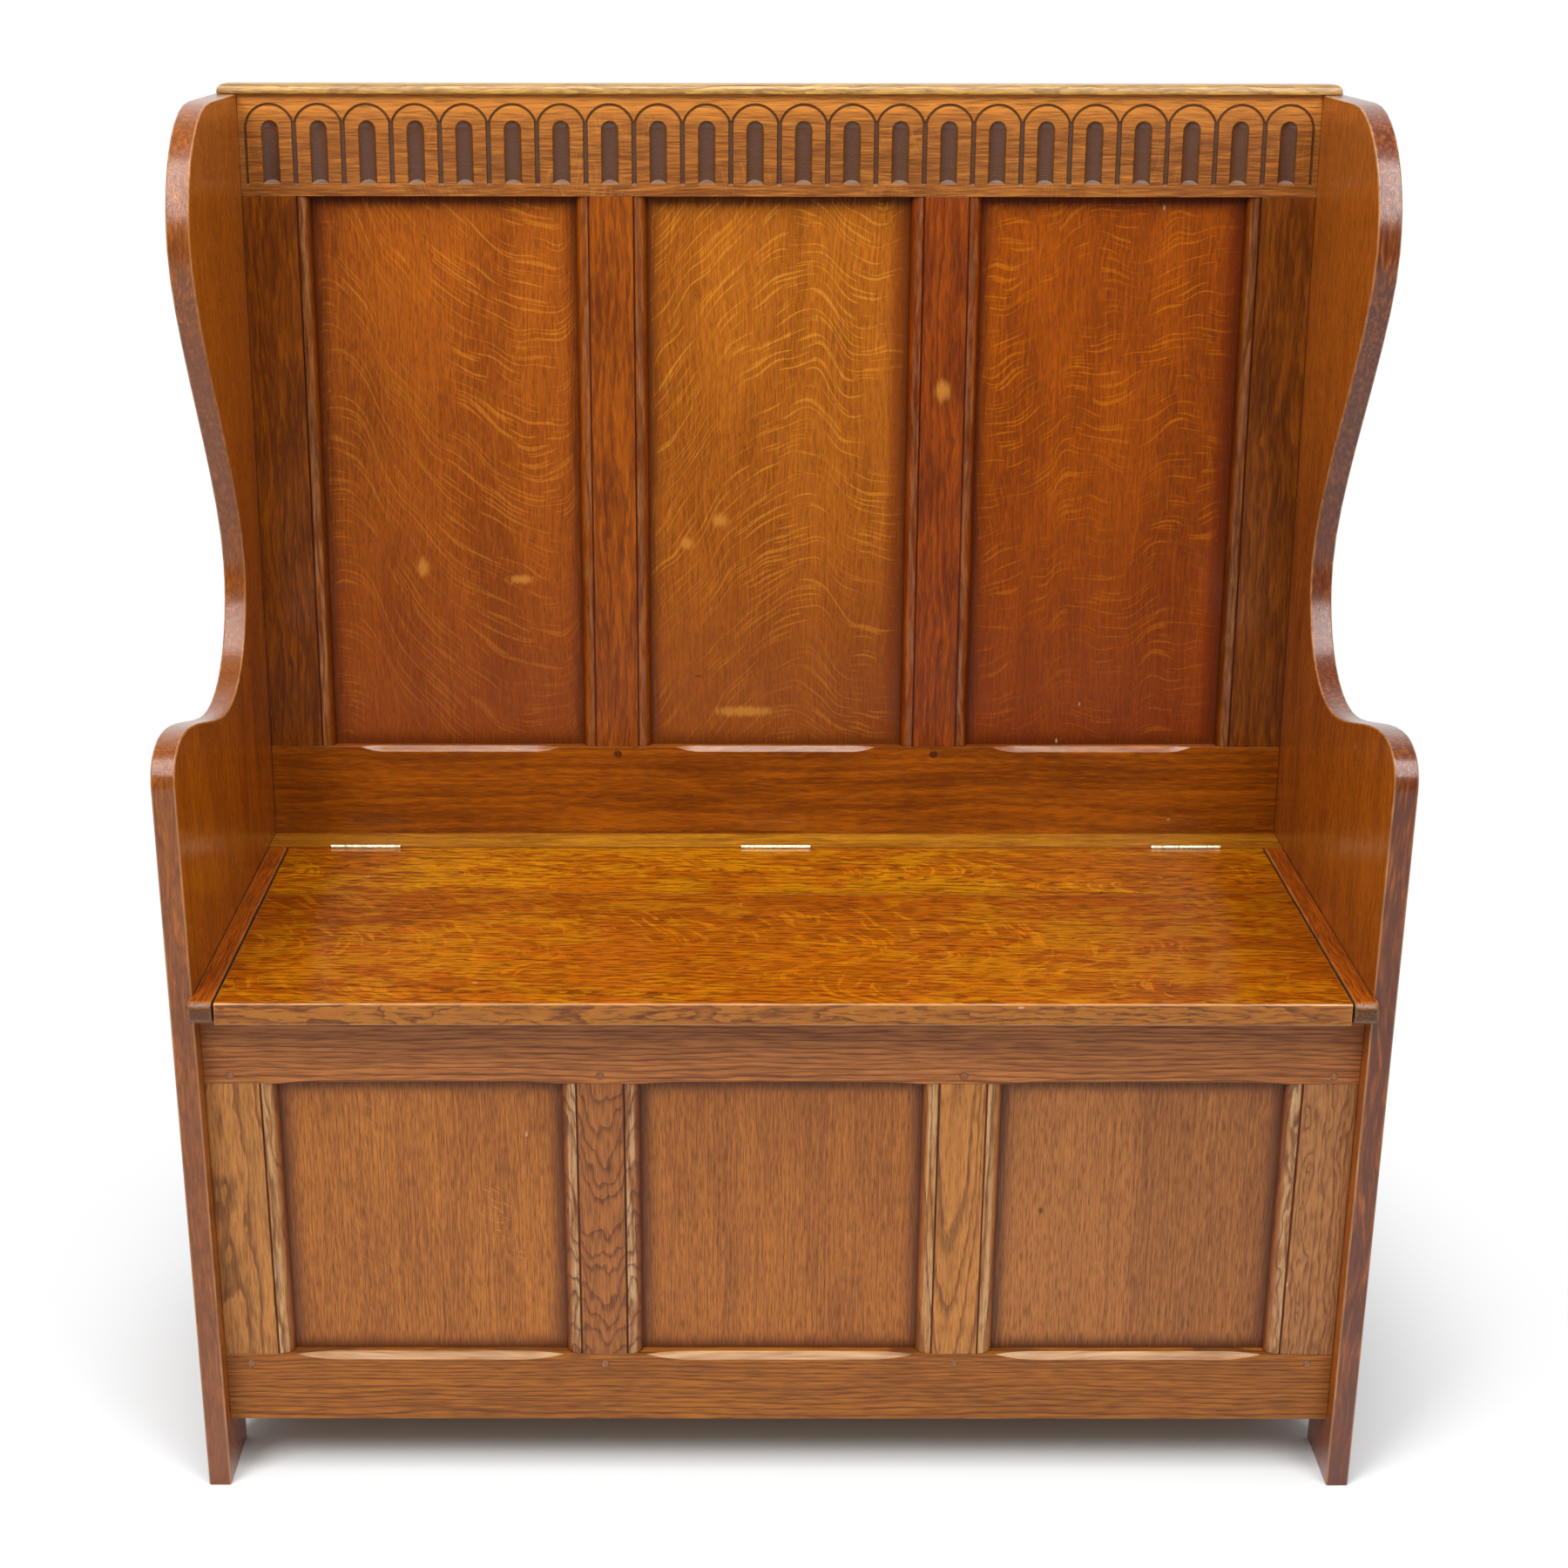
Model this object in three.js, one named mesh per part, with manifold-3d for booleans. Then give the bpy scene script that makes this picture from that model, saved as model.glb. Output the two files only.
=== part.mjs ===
// An oak box settle: shaped end boards, a raked panelled back with a carved top rail,
// and a hinged seat over a panelled storage box.
// Millimetres, +Z up, front towards -Y, feet on Z = 0, centred on its own box.

import * as THREE from "three";
import { mergeVertices } from "three/addons/utils/BufferGeometryUtils.js";
import Module from "manifold-3d";

// Clearances, and how finely round forms are faceted
const fitGap = 0.3;
const cutOverrun = 6;
const curveSteps = 10;
const bandSteps = 6;
const archSteps = 10;
const fluteSides = 20;
const fluteSteps = 6;
const pegSides = 12;
const knuckleSides = 14;
const arrisSteps = 2;
const noseSteps = 4;

// Overall: width between the end boards, and heights from the floor
const innerWidth = 980;
const endHeight = 1174.5;
const seatHeight = 479;

// End boards: the arm is set out from the front edge and the seat, the wing from the
// back's face and the top, and the neck lies between them
const endThickness = 20;
const endArris = 1.5;
const wingTopReach = 70;
const wingNoseReach = 188;
const wingNoseDrop = 112.5;
const neckReach = 59;
const neckHeightShare = 0.265;
const armDipDepth = 215;
const armDipRise = 180.2;
const armCrestDepth = 45;
const armCrestRise = 214.3;
const armFrontRise = 180;
const wingPullShares = [0.6, 0.515];
const neckPullShares = [0.262, 0.279];
const dipPullShares = [0.547, 0.588];
const crestPullShares = [0.294, 0.294];
const armPullShares = [0.6, 0.629];

// Arched opening between the two feet of each end board
const footLength = 74;
const footArchHeight = 50;
const footArchSpring = 20;
const footArchCorner = 30;

// Back: leans by the rake, and its front face crosses the seat's height at this depth
const rakeDegrees = 3.43;
const backFaceDepth = 386;
const backRailBelowSeat = 19;
const backRailAboveSeat = 87.6;
const carvedRailHeight = 89.4;

// Frame-and-panel joinery, the same in the back and the front
const frameThickness = 22;
const panelRecess = 11;
const grooveWidth = 6;
const grooveDepth = 8;
const panelPlay = 1.5;
const tenonLength = 22;
const tenonSetback = 8;
const quirkWidth = 1.6;
const quirkDepth = 2.4;
const bandDrop = 0.6;
const bandDepth = 8.6;
const pegRadius = 3.6;
const pegClearance = 0.15;
const pegProud = 0.3;
const stilePegInset = 22;

// Back frame, across
const backStileFlat = 49.5;
const backMuntinFlat = 40;
const backMoulding = 12.5;
const backChamfer = 5;
const backChamferSetback = 24;
const backChamferRunOut = 24;
const backPegSetback = 7.5;

// Front frame, across and up
const frontFaceDepth = 17.5;
const frontStileFlat = 46.5;
const frontMuntinFlat = 39;
const frontMoulding = 14;
const frontBottom = 58;
const frontBottomRailWidth = 66.6;
const frontTopRailWidth = 68.7;
const frontBottomChamfer = 5.5;
const frontTopChamfer = 3.2;
const frontChamferSetback = 3;
const frontChamferRunOut = 38;
const frontBottomPegSetback = 10;
const frontTopPegSetback = 7;

// Carving on the top rail: a row of arches, each over a fluted channel
const archPitch = 43.95;
const archTopMargin = 9;
const incisedWidth = 2.4;
const incisedDepth = 1.4;
const legWidth = 4.6;
const legDepth = 1.8;
const carvingBottomMargin = 9.5;
const fluteWidth = 16.4;
const fluteDepth = 4;
const scoopSlope = 1;

// Cap rail over the back
const capThickness = 8.5;
const capNosing = 6.5;
const capFrontOverhang = 6;
const capRearOverhang = 2;
const capEndSetback = 3.5;
const capSteps = 4;

// Seat: hinged lid, fixed strips beside it and the hinge rail behind it
const lidThickness = 20;
const lidOverhang = 14.7;
const lidArris = 2;
const lidSideGap = 2;
const lidSeamDepth = 224.8;
const stripWidth = 18.4;
const stripEar = 3;
const stripArris = 2;
const stripNose = 7;
const stripEarArris = 3.5;
const hingeRailWidth = 40.5;
const hingeGap = 1.8;
const lidBattenWidth = 45;
const lidBattenThickness = 18;
const lidBattenEndSetback = 190;
const lidBattenFrontGap = 8;
const lidBattenRearGap = 27.1;
const lidBattenChamfer = 6;

// Brass butt hinges
const hingeEndSetback = 94.3;
const hingeLength = 67;
const hingePinRise = 0.6;
const knuckleRadius = 2.7;
const knuckleCount = 5;
const pinRadius = 1.5;
const pinClearance = 0.09;
const leafThickness = 1.6;
const leafGap = 0.4;
const leafHeight = 17;

// Storage box
const boxBackThickness = 18;
const floorThickness = 12;
const floorBoardCount = 3;
const floorBoardGap = 1;
const bearerWidth = 20;
const bearerHeight = 18;

// Woods and metal
const darkOak = 0x7a4520;
const midOak = 0x8f5a2c;
const goldenOak = 0xa8601f;
const panelOak = 0x96501f;
const hiddenOak = 0xa67c4e;
const brassColour = 0xc8b27a;
const satinRoughness = 0.45;
const glossRoughness = 0.3;
const bareRoughness = 0.75;
const brassRoughness = 0.35;

const wasm = await Module();
wasm.setup();

const rake = THREE.MathUtils.degToRad(rakeDegrees);
const halfInner = innerWidth / 2;
const halfOuter = halfInner + endThickness;
const backRailBottom = seatHeight - backRailBelowSeat;
const carvedRailTop = endHeight;
const archCount = Math.floor(innerWidth / archPitch);
const lidBottom = seatHeight - lidThickness;
const lidHalfWidth = halfInner - stripWidth - lidSideGap;
const hingeLineDepth = backFaceDepth - hingeRailWidth;
const lidRear = hingeLineDepth - hingeGap / 2;
const hingeRailFront = hingeLineDepth + hingeGap / 2;
const pinHeight = seatHeight + hingePinRise;
const frontFrameRear = frontFaceDepth + frameThickness;

// Depth of the raked rear edge at a height
function rearDepth(height) {
  return backFaceDepth + frameThickness / Math.cos(rake) + (height - seatHeight) * Math.tan(rake);
}

const footRear = rearDepth(seatHeight);
const boxBackRear = footRear - fitGap;
const boxBackFront = boxBackRear - boxBackThickness;

// A closed geometry as a solid that can be cut and joined
function solidOf(geometry) {
  const bare = geometry.clone();
  bare.deleteAttribute("normal");
  bare.deleteAttribute("uv");
  const merged = mergeVertices(bare);
  const vertProperties = new Float32Array(merged.attributes.position.array);
  const triVerts = new Uint32Array(merged.index.array);
  return new wasm.Manifold(new wasm.Mesh({ numProp: 3, vertProperties, triVerts }));
}

function geometryOf(solid) {
  const mesh = solid.getMesh();
  const geometry = new THREE.BufferGeometry();
  geometry.setAttribute("position", new THREE.BufferAttribute(mesh.vertProperties, mesh.numProp));
  geometry.setIndex(new THREE.BufferAttribute(mesh.triVerts, 1));
  geometry.computeVertexNormals();
  return geometry;
}

function joined(geometries) {
  return geometries.map(solidOf).reduce((whole, next) => whole.add(next));
}

function join(geometries) {
  return geometryOf(joined(geometries));
}

function cut(geometry, tools) {
  return geometryOf(solidOf(geometry).subtract(joined(tools)));
}

function block([x0, x1], [y0, y1], [z0, z1]) {
  const box = new THREE.BoxGeometry(x1 - x0, y1 - y0, z1 - z0);
  return box.translate((x0 + x1) / 2, (y0 + y1) / 2, (z0 + z1) / 2);
}

// A plan outline in x and y, raised from z0 to z1
function extrudeUp(points, z0, z1) {
  const shape = new THREE.Shape(points);
  return new THREE.ExtrudeGeometry(shape, { depth: z1 - z0, bevelEnabled: false }).translate(0, 0, z0);
}

// A side outline in y and z, carried across from x0 to x1
function extrudeAcross(shape, x0, x1, arris = 0, steps = curveSteps) {
  const geometry = new THREE.ExtrudeGeometry(shape, {
    depth: x1 - x0 - arris - arris,
    curveSegments: steps,
    bevelEnabled: arris > 0,
    bevelSize: arris,
    bevelOffset: -arris,
    bevelThickness: arris,
    bevelSegments: arrisSteps,
  });
  const axes = new THREE.Matrix4().makeBasis(
    new THREE.Vector3(0, 1, 0),
    new THREE.Vector3(0, 0, 1),
    new THREE.Vector3(1, 0, 0),
  );
  return geometry.applyMatrix4(axes).translate(x0 + arris, 0, 0);
}

function piece(name, geometry, colour, roughness = satinRoughness, metalness = 0) {
  const material = new THREE.MeshStandardMaterial({ color: colour, roughness, metalness });
  const mesh = new THREE.Mesh(geometry, material);
  mesh.name = name;
  return mesh;
}

// Draws one swing of the end board's front edge. Each end of it runs level or plumb,
// and its pull share says how far the curve follows that direction.
function swing(shape, from, to, [fromShare, toShare]) {
  const depth = to.depth - from.depth;
  const height = to.height - from.height;
  shape.bezierCurveTo(
    from.depth + (from.level ? depth * fromShare : 0),
    from.height + (from.level ? 0 : height * fromShare),
    to.depth - (to.level ? depth * toShare : 0),
    to.height - (to.level ? 0 : height * toShare),
    to.depth,
    to.height,
  );
}

function endOutline() {
  const wingTop = { depth: backFaceDepth - wingTopReach, height: endHeight, level: true };
  const noseHeight = endHeight - wingNoseDrop;
  const wingNose = { depth: backFaceDepth - wingNoseReach, height: noseHeight, level: false };
  const dipHeight = seatHeight + armDipRise;
  const neckHeight = dipHeight + (noseHeight - dipHeight) * neckHeightShare;
  const neck = { depth: backFaceDepth - neckReach, height: neckHeight, level: false };
  const armDip = { depth: armDipDepth, height: dipHeight, level: true };
  const armCrest = { depth: armCrestDepth, height: seatHeight + armCrestRise, level: true };
  const armFront = { depth: 0, height: seatHeight + armFrontRise, level: false };
  const archRear = footRear - footLength;
  const shape = new THREE.Shape();
  shape.moveTo(rearDepth(endHeight), endHeight);
  shape.lineTo(wingTop.depth, wingTop.height);
  swing(shape, wingTop, wingNose, wingPullShares);
  swing(shape, wingNose, neck, neckPullShares);
  swing(shape, neck, armDip, dipPullShares);
  swing(shape, armDip, armCrest, crestPullShares);
  swing(shape, armCrest, armFront, armPullShares);
  shape.lineTo(0, 0);
  shape.lineTo(footLength, 0);
  shape.lineTo(footLength, footArchSpring);
  shape.quadraticCurveTo(footLength, footArchHeight, footLength + footArchCorner, footArchHeight);
  shape.lineTo(archRear - footArchCorner, footArchHeight);
  shape.quadraticCurveTo(archRear, footArchHeight, archRear, footArchSpring);
  shape.lineTo(archRear, 0);
  shape.lineTo(footRear, 0);
  shape.lineTo(footRear, seatHeight);
  return shape;
}

function addEnds(group) {
  const outline = endOutline();
  group.add(piece("end_left", extrudeAcross(outline, -halfOuter, -halfInner, endArris), midOak));
  group.add(piece("end_right", extrudeAcross(outline, halfInner, halfOuter, endArris), midOak));
}

// Plan points of a moulded edge, from the face to the back: a quirk, a rounded band
// that falls towards the panel, and the groove that holds the panel
function mouldedEdge(flat, moulding) {
  const edge = flat + moulding;
  const groove = edge - grooveDepth;
  const grooveBack = panelRecess + grooveWidth;
  const bandStart = flat + quirkWidth;
  const centreDepth = bandDrop + bandDepth;
  const band = new THREE.EllipseCurve(bandStart, centreDepth, edge - bandStart, bandDepth, -Math.PI / 2, 0);
  return [
    new THREE.Vector2(flat, 0),
    new THREE.Vector2(flat, quirkDepth),
    new THREE.Vector2(bandStart, quirkDepth),
    ...band.getPoints(bandSteps),
    new THREE.Vector2(edge, panelRecess),
    new THREE.Vector2(groove, panelRecess),
    new THREE.Vector2(groove, grooveBack),
    new THREE.Vector2(edge, grooveBack),
    new THREE.Vector2(edge, frameThickness),
  ];
}

// Places across a frame, worked out from its flats and mouldings
function layOut(frame) {
  const stileWidth = frame.stileFlat + frame.moulding;
  const muntinHalf = frame.muntinFlat / 2 + frame.moulding;
  const panelSight = (innerWidth - 2 * stileWidth - 4 * muntinHalf) / 3;
  const muntinX = panelSight / 2 + muntinHalf;
  const stileTenon = [tenonSetback - halfInner, stileWidth - grooveDepth - fitGap - halfInner];
  const muntinTenon = muntinHalf - grooveDepth - fitGap;
  return {
    ...frame,
    panelSight,
    muntinX,
    panelX: panelSight + 2 * muntinHalf,
    tenons: [
      stileTenon,
      [-muntinX - muntinTenon, -muntinX + muntinTenon],
      [muntinX - muntinTenon, muntinX + muntinTenon],
      [-stileTenon[1], -stileTenon[0]],
    ],
  };
}

const tenonDepths = [panelRecess + fitGap, panelRecess + grooveWidth - fitGap];
const grooveDepths = [panelRecess, panelRecess + grooveWidth];

// A long shallow cut along a rail's front arris, running out to nothing at both ends.
// inward is the way from the arris into the rail: up or down.
function stoppedChamfer(centreX, length, arrisZ, size, runOut, inward) {
  const depth = size / Math.SQRT2;
  const half = length / 2;
  const shape = new THREE.Shape();
  shape.moveTo(-half, 0);
  shape.quadraticCurveTo(-half + runOut / 2, depth, -half + runOut, depth);
  shape.lineTo(half - runOut, depth);
  shape.quadraticCurveTo(half - runOut / 2, depth, half, 0);
  shape.lineTo(half, -cutOverrun);
  shape.lineTo(-half, -cutOverrun);
  const width = 2 * (size + cutOverrun);
  const geometry = new THREE.ExtrudeGeometry(shape, {
    depth: width,
    curveSegments: bandSteps,
    bevelEnabled: false,
  });
  const intoRail = new THREE.Vector3(0, 1, inward).normalize();
  const along = new THREE.Vector3(1, 0, 0);
  const axes = new THREE.Matrix4().makeBasis(along, intoRail, along.clone().cross(intoRail));
  return geometry.translate(0, 0, -width / 2).applyMatrix4(axes).translate(centreX, 0, arrisZ);
}

function pegHole(peg) {
  const radius = pegRadius + pegClearance;
  const length = frameThickness + 2 * cutOverrun;
  const hole = new THREE.CylinderGeometry(radius, radius, length, pegSides);
  return hole.translate(peg.x, frameThickness / 2, peg.z);
}

// A rail across the frame. inner is its edge that faces the panels, outer the other,
// and the tools cut its panel groove, mortises, chamfers and peg holes.
function railGeometry(frame, inner, outer, chamfer, extraTools = []) {
  const inward = Math.sign(outer - inner);
  const span = (from, to) => [Math.min(from, to), Math.max(from, to)];
  const body = block([fitGap - halfInner, halfInner - fitGap], [0, frameThickness], span(inner, outer));
  const cutFrom = inner - inward * cutOverrun;
  const firstTenon = frame.tenons[0];
  const lastTenon = frame.tenons[frame.tenons.length - 1];
  const grooveEnds = [firstTenon[0] - fitGap, lastTenon[1] + fitGap];
  const tools = [block(grooveEnds, grooveDepths, span(cutFrom, inner + inward * grooveDepth))];
  const mortiseFloor = inner + inward * (tenonLength + fitGap);
  for (const [x0, x1] of frame.tenons) {
    tools.push(block([x0 - fitGap, x1 + fitGap], grooveDepths, span(cutFrom, mortiseFloor)));
  }
  const chamferLength = frame.panelSight - 2 * frame.chamferSetback;
  for (const x of chamfer > 0 ? [-frame.panelX, 0, frame.panelX] : []) {
    tools.push(stoppedChamfer(x, chamferLength, inner, chamfer, frame.chamferRunOut, inward));
  }
  for (const peg of frame.pegs.filter(({ z }) => (z - inner) * inward > 0)) {
    tools.push(pegHole(peg));
  }
  return cut(body, [...tools, ...extraTools]);
}

// A stile or muntin: its moulded section between the rails, with a tenon at each end
function uprightGeometry(frame, plan, [x0, x1]) {
  const body = extrudeUp(plan, frame.bottomRailTop + fitGap, frame.topRailBottom - fitGap);
  const tenonEnds = [frame.bottomRailTop - tenonLength, frame.topRailBottom + tenonLength];
  const whole = join([body, block([x0, x1], tenonDepths, tenonEnds)]);
  const pegs = frame.pegs.filter(({ x }) => x > x0 && x < x1);
  return pegs.length > 0 ? cut(whole, pegs.map(pegHole)) : whole;
}

function stilePlan(frame, side) {
  const edge = mouldedEdge(frame.stileFlat, frame.moulding);
  const plan = [new THREE.Vector2(fitGap, 0), ...edge, new THREE.Vector2(fitGap, frameThickness)];
  return plan.map(({ x, y }) => new THREE.Vector2(side * (halfInner - x), y));
}

function muntinPlan(frame, side) {
  const right = mouldedEdge(frame.muntinFlat / 2, frame.moulding);
  const left = right.map(({ x, y }) => new THREE.Vector2(-x, y)).reverse();
  return [...right, ...left].map(({ x, y }) => new THREE.Vector2(side * frame.muntinX + x, y));
}

function addUprights(group, frame, colour) {
  const [leftStile, leftMuntin, rightMuntin, rightStile] = frame.tenons;
  const uprights = [
    ["stile_left", stilePlan(frame, -1), leftStile],
    ["muntin_left", muntinPlan(frame, -1), leftMuntin],
    ["muntin_right", muntinPlan(frame, 1), rightMuntin],
    ["stile_right", stilePlan(frame, 1), rightStile],
  ];
  for (const [name, plan, tenon] of uprights) {
    group.add(piece(`${frame.name}_${name}`, uprightGeometry(frame, plan, tenon), colour));
  }
}

function addPanels(group, frame) {
  const tongue = grooveDepth - panelPlay;
  const half = frame.panelSight / 2 + tongue;
  const heights = [frame.bottomRailTop - tongue, frame.topRailBottom + tongue];
  const places = { left: -frame.panelX, centre: 0, right: frame.panelX };
  for (const [name, x] of Object.entries(places)) {
    const geometry = block([x - half, x + half], tenonDepths, heights);
    group.add(piece(`${frame.name}_panel_${name}`, geometry, panelOak));
  }
}

function addPegs(group, frame) {
  const length = frameThickness + pegProud;
  for (const { name, x, z } of frame.pegs) {
    const geometry = new THREE.CylinderGeometry(pegRadius, pegRadius, length, pegSides);
    const peg = piece(`${frame.name}_${name}`, geometry, darkOak);
    peg.position.set(x, length / 2 - pegProud, z);
    group.add(peg);
  }
}

// An upright line of the carving, whose foot slopes out to the face
function uprightLine(x, width, depth, foot, head) {
  const side = new THREE.Shape([
    new THREE.Vector2(-cutOverrun, head),
    new THREE.Vector2(-cutOverrun, foot - cutOverrun),
    new THREE.Vector2(depth, foot + depth),
    new THREE.Vector2(depth, head),
  ]);
  return extrudeAcross(side, x - width / 2, x + width / 2);
}

// Tools that cut the row of arches: half rings over upright lines. A line that two arches
// share is wider, and starts where their rings meet.
function archTools(top, bottom) {
  const radius = archPitch / 2;
  const springing = top - archTopMargin - radius;
  const lineEnd = bottom + carvingBottomMargin;
  const rowStart = -archCount * radius;
  const halfLine = incisedWidth / 2;
  const meeting = springing + Math.sqrt((legWidth - incisedWidth) * radius);
  const toolDepth = incisedDepth + cutOverrun;
  const facing = new THREE.Matrix4().makeRotationX(Math.PI / 2);
  const tools = [];
  for (const x of [rowStart, -rowStart]) {
    tools.push(uprightLine(x, incisedWidth, incisedDepth, lineEnd, springing));
  }
  for (let i = 1; i < archCount; i += 1) {
    tools.push(uprightLine(rowStart + i * archPitch, legWidth, legDepth, lineEnd, meeting));
  }
  for (let i = 0; i < archCount; i += 1) {
    const ring = new THREE.Shape();
    ring.absarc(0, 0, radius + halfLine, 0, Math.PI, false);
    ring.absarc(0, 0, radius - halfLine, Math.PI, 0, true);
    const options = { depth: toolDepth, curveSegments: archSteps, bevelEnabled: false };
    const arch = new THREE.ExtrudeGeometry(ring, options);
    arch.applyMatrix4(facing);
    arch.translate(rowStart + (i + 1 / 2) * archPitch, incisedDepth, springing);
    tools.push(arch);
  }
  return tools;
}

// Tools that cut the flutes. Each is a round-ended gouge cut: a bullet turned about an
// axis in front of the face, stopped at its foot by a sloping scoop.
function fluteTools(top, bottom) {
  const halfWidth = fluteWidth / 2;
  const radius = (halfWidth * halfWidth + fluteDepth * fluteDepth) / (2 * fluteDepth);
  const springing = top - archTopMargin - archPitch / 2;
  const scoop = bottom + carvingBottomMargin + incisedWidth / 2;
  const foot = scoop - 2 * radius;
  const profile = [new THREE.Vector2(0, foot), new THREE.Vector2(radius, foot)];
  for (let i = 0; i <= fluteSteps; i += 1) {
    const angle = (i / fluteSteps) * (Math.PI / 2);
    profile.push(new THREE.Vector2(radius * Math.cos(angle), springing + radius * Math.sin(angle)));
  }
  profile[profile.length - 1].x = 0;
  const bullet = new THREE.LatheGeometry(profile, fluteSides).rotateX(Math.PI / 2);
  bullet.translate(0, fluteDepth - radius, 0);
  const reach = 2 * radius;
  const wedge = new THREE.Shape([
    new THREE.Vector2(-reach - cutOverrun, scoop - (reach + cutOverrun) * scoopSlope),
    new THREE.Vector2(reach, scoop + reach * scoopSlope),
    new THREE.Vector2(reach, foot - reach),
    new THREE.Vector2(-reach - cutOverrun, foot - reach),
  ]);
  const flute = cut(bullet, [extrudeAcross(wedge, -reach, reach)]);
  const tools = [];
  for (let i = 0; i < archCount; i += 1) {
    tools.push(flute.clone().translate((i + (1 - archCount) / 2) * archPitch, 0, 0));
  }
  return tools;
}

const alongRake = (height) => (height - seatHeight) / Math.cos(rake);

function backFrame() {
  const frame = layOut({
    name: "back",
    stileFlat: backStileFlat,
    muntinFlat: backMuntinFlat,
    moulding: backMoulding,
    bottomRailTop: alongRake(seatHeight + backRailAboveSeat),
    topRailBottom: alongRake(carvedRailTop - carvedRailHeight),
    chamferSetback: backChamferSetback,
    chamferRunOut: backChamferRunOut,
  });
  const pegZ = frame.bottomRailTop - backPegSetback;
  frame.pegs = [
    { name: "peg_left", x: -frame.muntinX, z: pegZ },
    { name: "peg_right", x: frame.muntinX, z: pegZ },
  ];
  return frame;
}

function addBack(group) {
  const frame = backFrame();
  const back = new THREE.Group();
  back.position.set(0, backFaceDepth, seatHeight);
  back.rotation.x = -rake;
  const top = alongRake(carvedRailTop);
  const carving = [...archTools(top, frame.topRailBottom), ...fluteTools(top, frame.topRailBottom)];
  const carvedRail = railGeometry(frame, frame.topRailBottom, top, 0, carving);
  const bottomRail = railGeometry(frame, frame.bottomRailTop, alongRake(backRailBottom), backChamfer);
  back.add(piece("carved_rail", carvedRail, goldenOak));
  back.add(piece("back_bottom_rail", bottomRail, goldenOak));
  addUprights(back, frame, darkOak);
  addPanels(back, frame);
  addPegs(back, frame);
  group.add(back);
}

function frontFrame() {
  const frame = layOut({
    name: "front",
    stileFlat: frontStileFlat,
    muntinFlat: frontMuntinFlat,
    moulding: frontMoulding,
    bottomRailTop: frontBottom + frontBottomRailWidth,
    topRailBottom: lidBottom - frontTopRailWidth,
    chamferSetback: frontChamferSetback,
    chamferRunOut: frontChamferRunOut,
  });
  const stilePegX = halfInner - stilePegInset;
  const places = {
    stile_left: -stilePegX,
    muntin_left: -frame.muntinX,
    muntin_right: frame.muntinX,
    stile_right: stilePegX,
  };
  frame.pegs = Object.entries(places).flatMap(([name, x]) => [
    { name: `bottom_peg_${name}`, x, z: frame.bottomRailTop - frontBottomPegSetback },
    { name: `top_peg_${name}`, x, z: frame.topRailBottom + frontTopPegSetback },
  ]);
  return frame;
}

function addFront(group) {
  const frame = frontFrame();
  const front = new THREE.Group();
  front.position.y = frontFaceDepth;
  const topRail = railGeometry(frame, frame.topRailBottom, lidBottom - fitGap, frontTopChamfer);
  const bottomRail = railGeometry(frame, frame.bottomRailTop, frontBottom, frontBottomChamfer);
  front.add(piece("front_top_rail", topRail, midOak));
  front.add(piece("front_bottom_rail", bottomRail, midOak));
  addUprights(front, frame, midOak);
  addPanels(front, frame);
  addPegs(front, frame);
  group.add(front);
}

// The cap is a flat board whose front, rear and end edges are rounded on top, with
// the returned corners mitred: the upper half of a block bevelled all round
function addCap(group) {
  const bottom = endHeight + fitGap;
  const front = rearDepth(endHeight) - frameThickness - capFrontOverhang;
  const rear = rearDepth(endHeight) + capRearOverhang;
  const half = halfOuter - capEndSetback;
  const plan = new THREE.Shape([
    new THREE.Vector2(-half, front),
    new THREE.Vector2(half, front),
    new THREE.Vector2(half, rear),
    new THREE.Vector2(-half, rear),
  ]);
  const bevelled = new THREE.ExtrudeGeometry(plan, {
    depth: 2 * (capThickness - capNosing),
    bevelSize: capNosing,
    bevelOffset: -capNosing,
    bevelThickness: capNosing,
    bevelSegments: capSteps,
  });
  bevelled.translate(0, 0, bottom - (capThickness - capNosing));
  const room = capThickness + cutOverrun;
  const below = block([-half - room, half + room], [front - room, rear + room], [bottom - room, bottom]);
  const cap = cut(bevelled, [below]);
  group.add(piece("cap_rail", cap, goldenOak));
}

// Side outline of a board of the seat, its front edge rounded above and below
function nosedSection(rear, nose) {
  const front = -lidOverhang;
  const shape = new THREE.Shape();
  shape.moveTo(rear, lidBottom);
  shape.lineTo(rear, seatHeight);
  shape.lineTo(front + nose, seatHeight);
  shape.absarc(front + nose, seatHeight - nose, nose, Math.PI / 2, Math.PI, false);
  shape.absarc(front + nose, lidBottom + nose, nose, Math.PI, 3 * Math.PI / 2, false);
  return shape;
}

// Fixed strips at both sides of the lid, each with an ear over the end board's edge
function addSideStrips(group) {
  const inner = halfInner - stripWidth;
  const outer = halfInner - fitGap;
  const ear = halfInner + stripEar;
  const rear = hingeRailFront - fitGap;
  const section = nosedSection(rear, stripNose);
  const earSection = nosedSection(cutOverrun, stripNose);
  const heights = [lidBottom - cutOverrun, seatHeight + cutOverrun];
  for (const [name, side] of [["side_strip_left", -1], ["side_strip_right", 1]]) {
    const across = (from, to) => [side * from, side * to].sort((a, b) => a - b);
    const body = extrudeAcross(section, ...across(inner, outer), stripArris, noseSteps);
    const nose = extrudeAcross(earSection, ...across(inner, ear), stripEarArris, noseSteps);
    const endBoard = block(across(outer, ear + cutOverrun), [-fitGap, rear], heights);
    group.add(piece(name, cut(join([body, nose]), [endBoard]), goldenOak, glossRoughness));
  }
}

const hingeSpread = halfInner - hingeEndSetback;
const hingePlaces = { left: -hingeSpread, centre: 0, right: hingeSpread };

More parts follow.
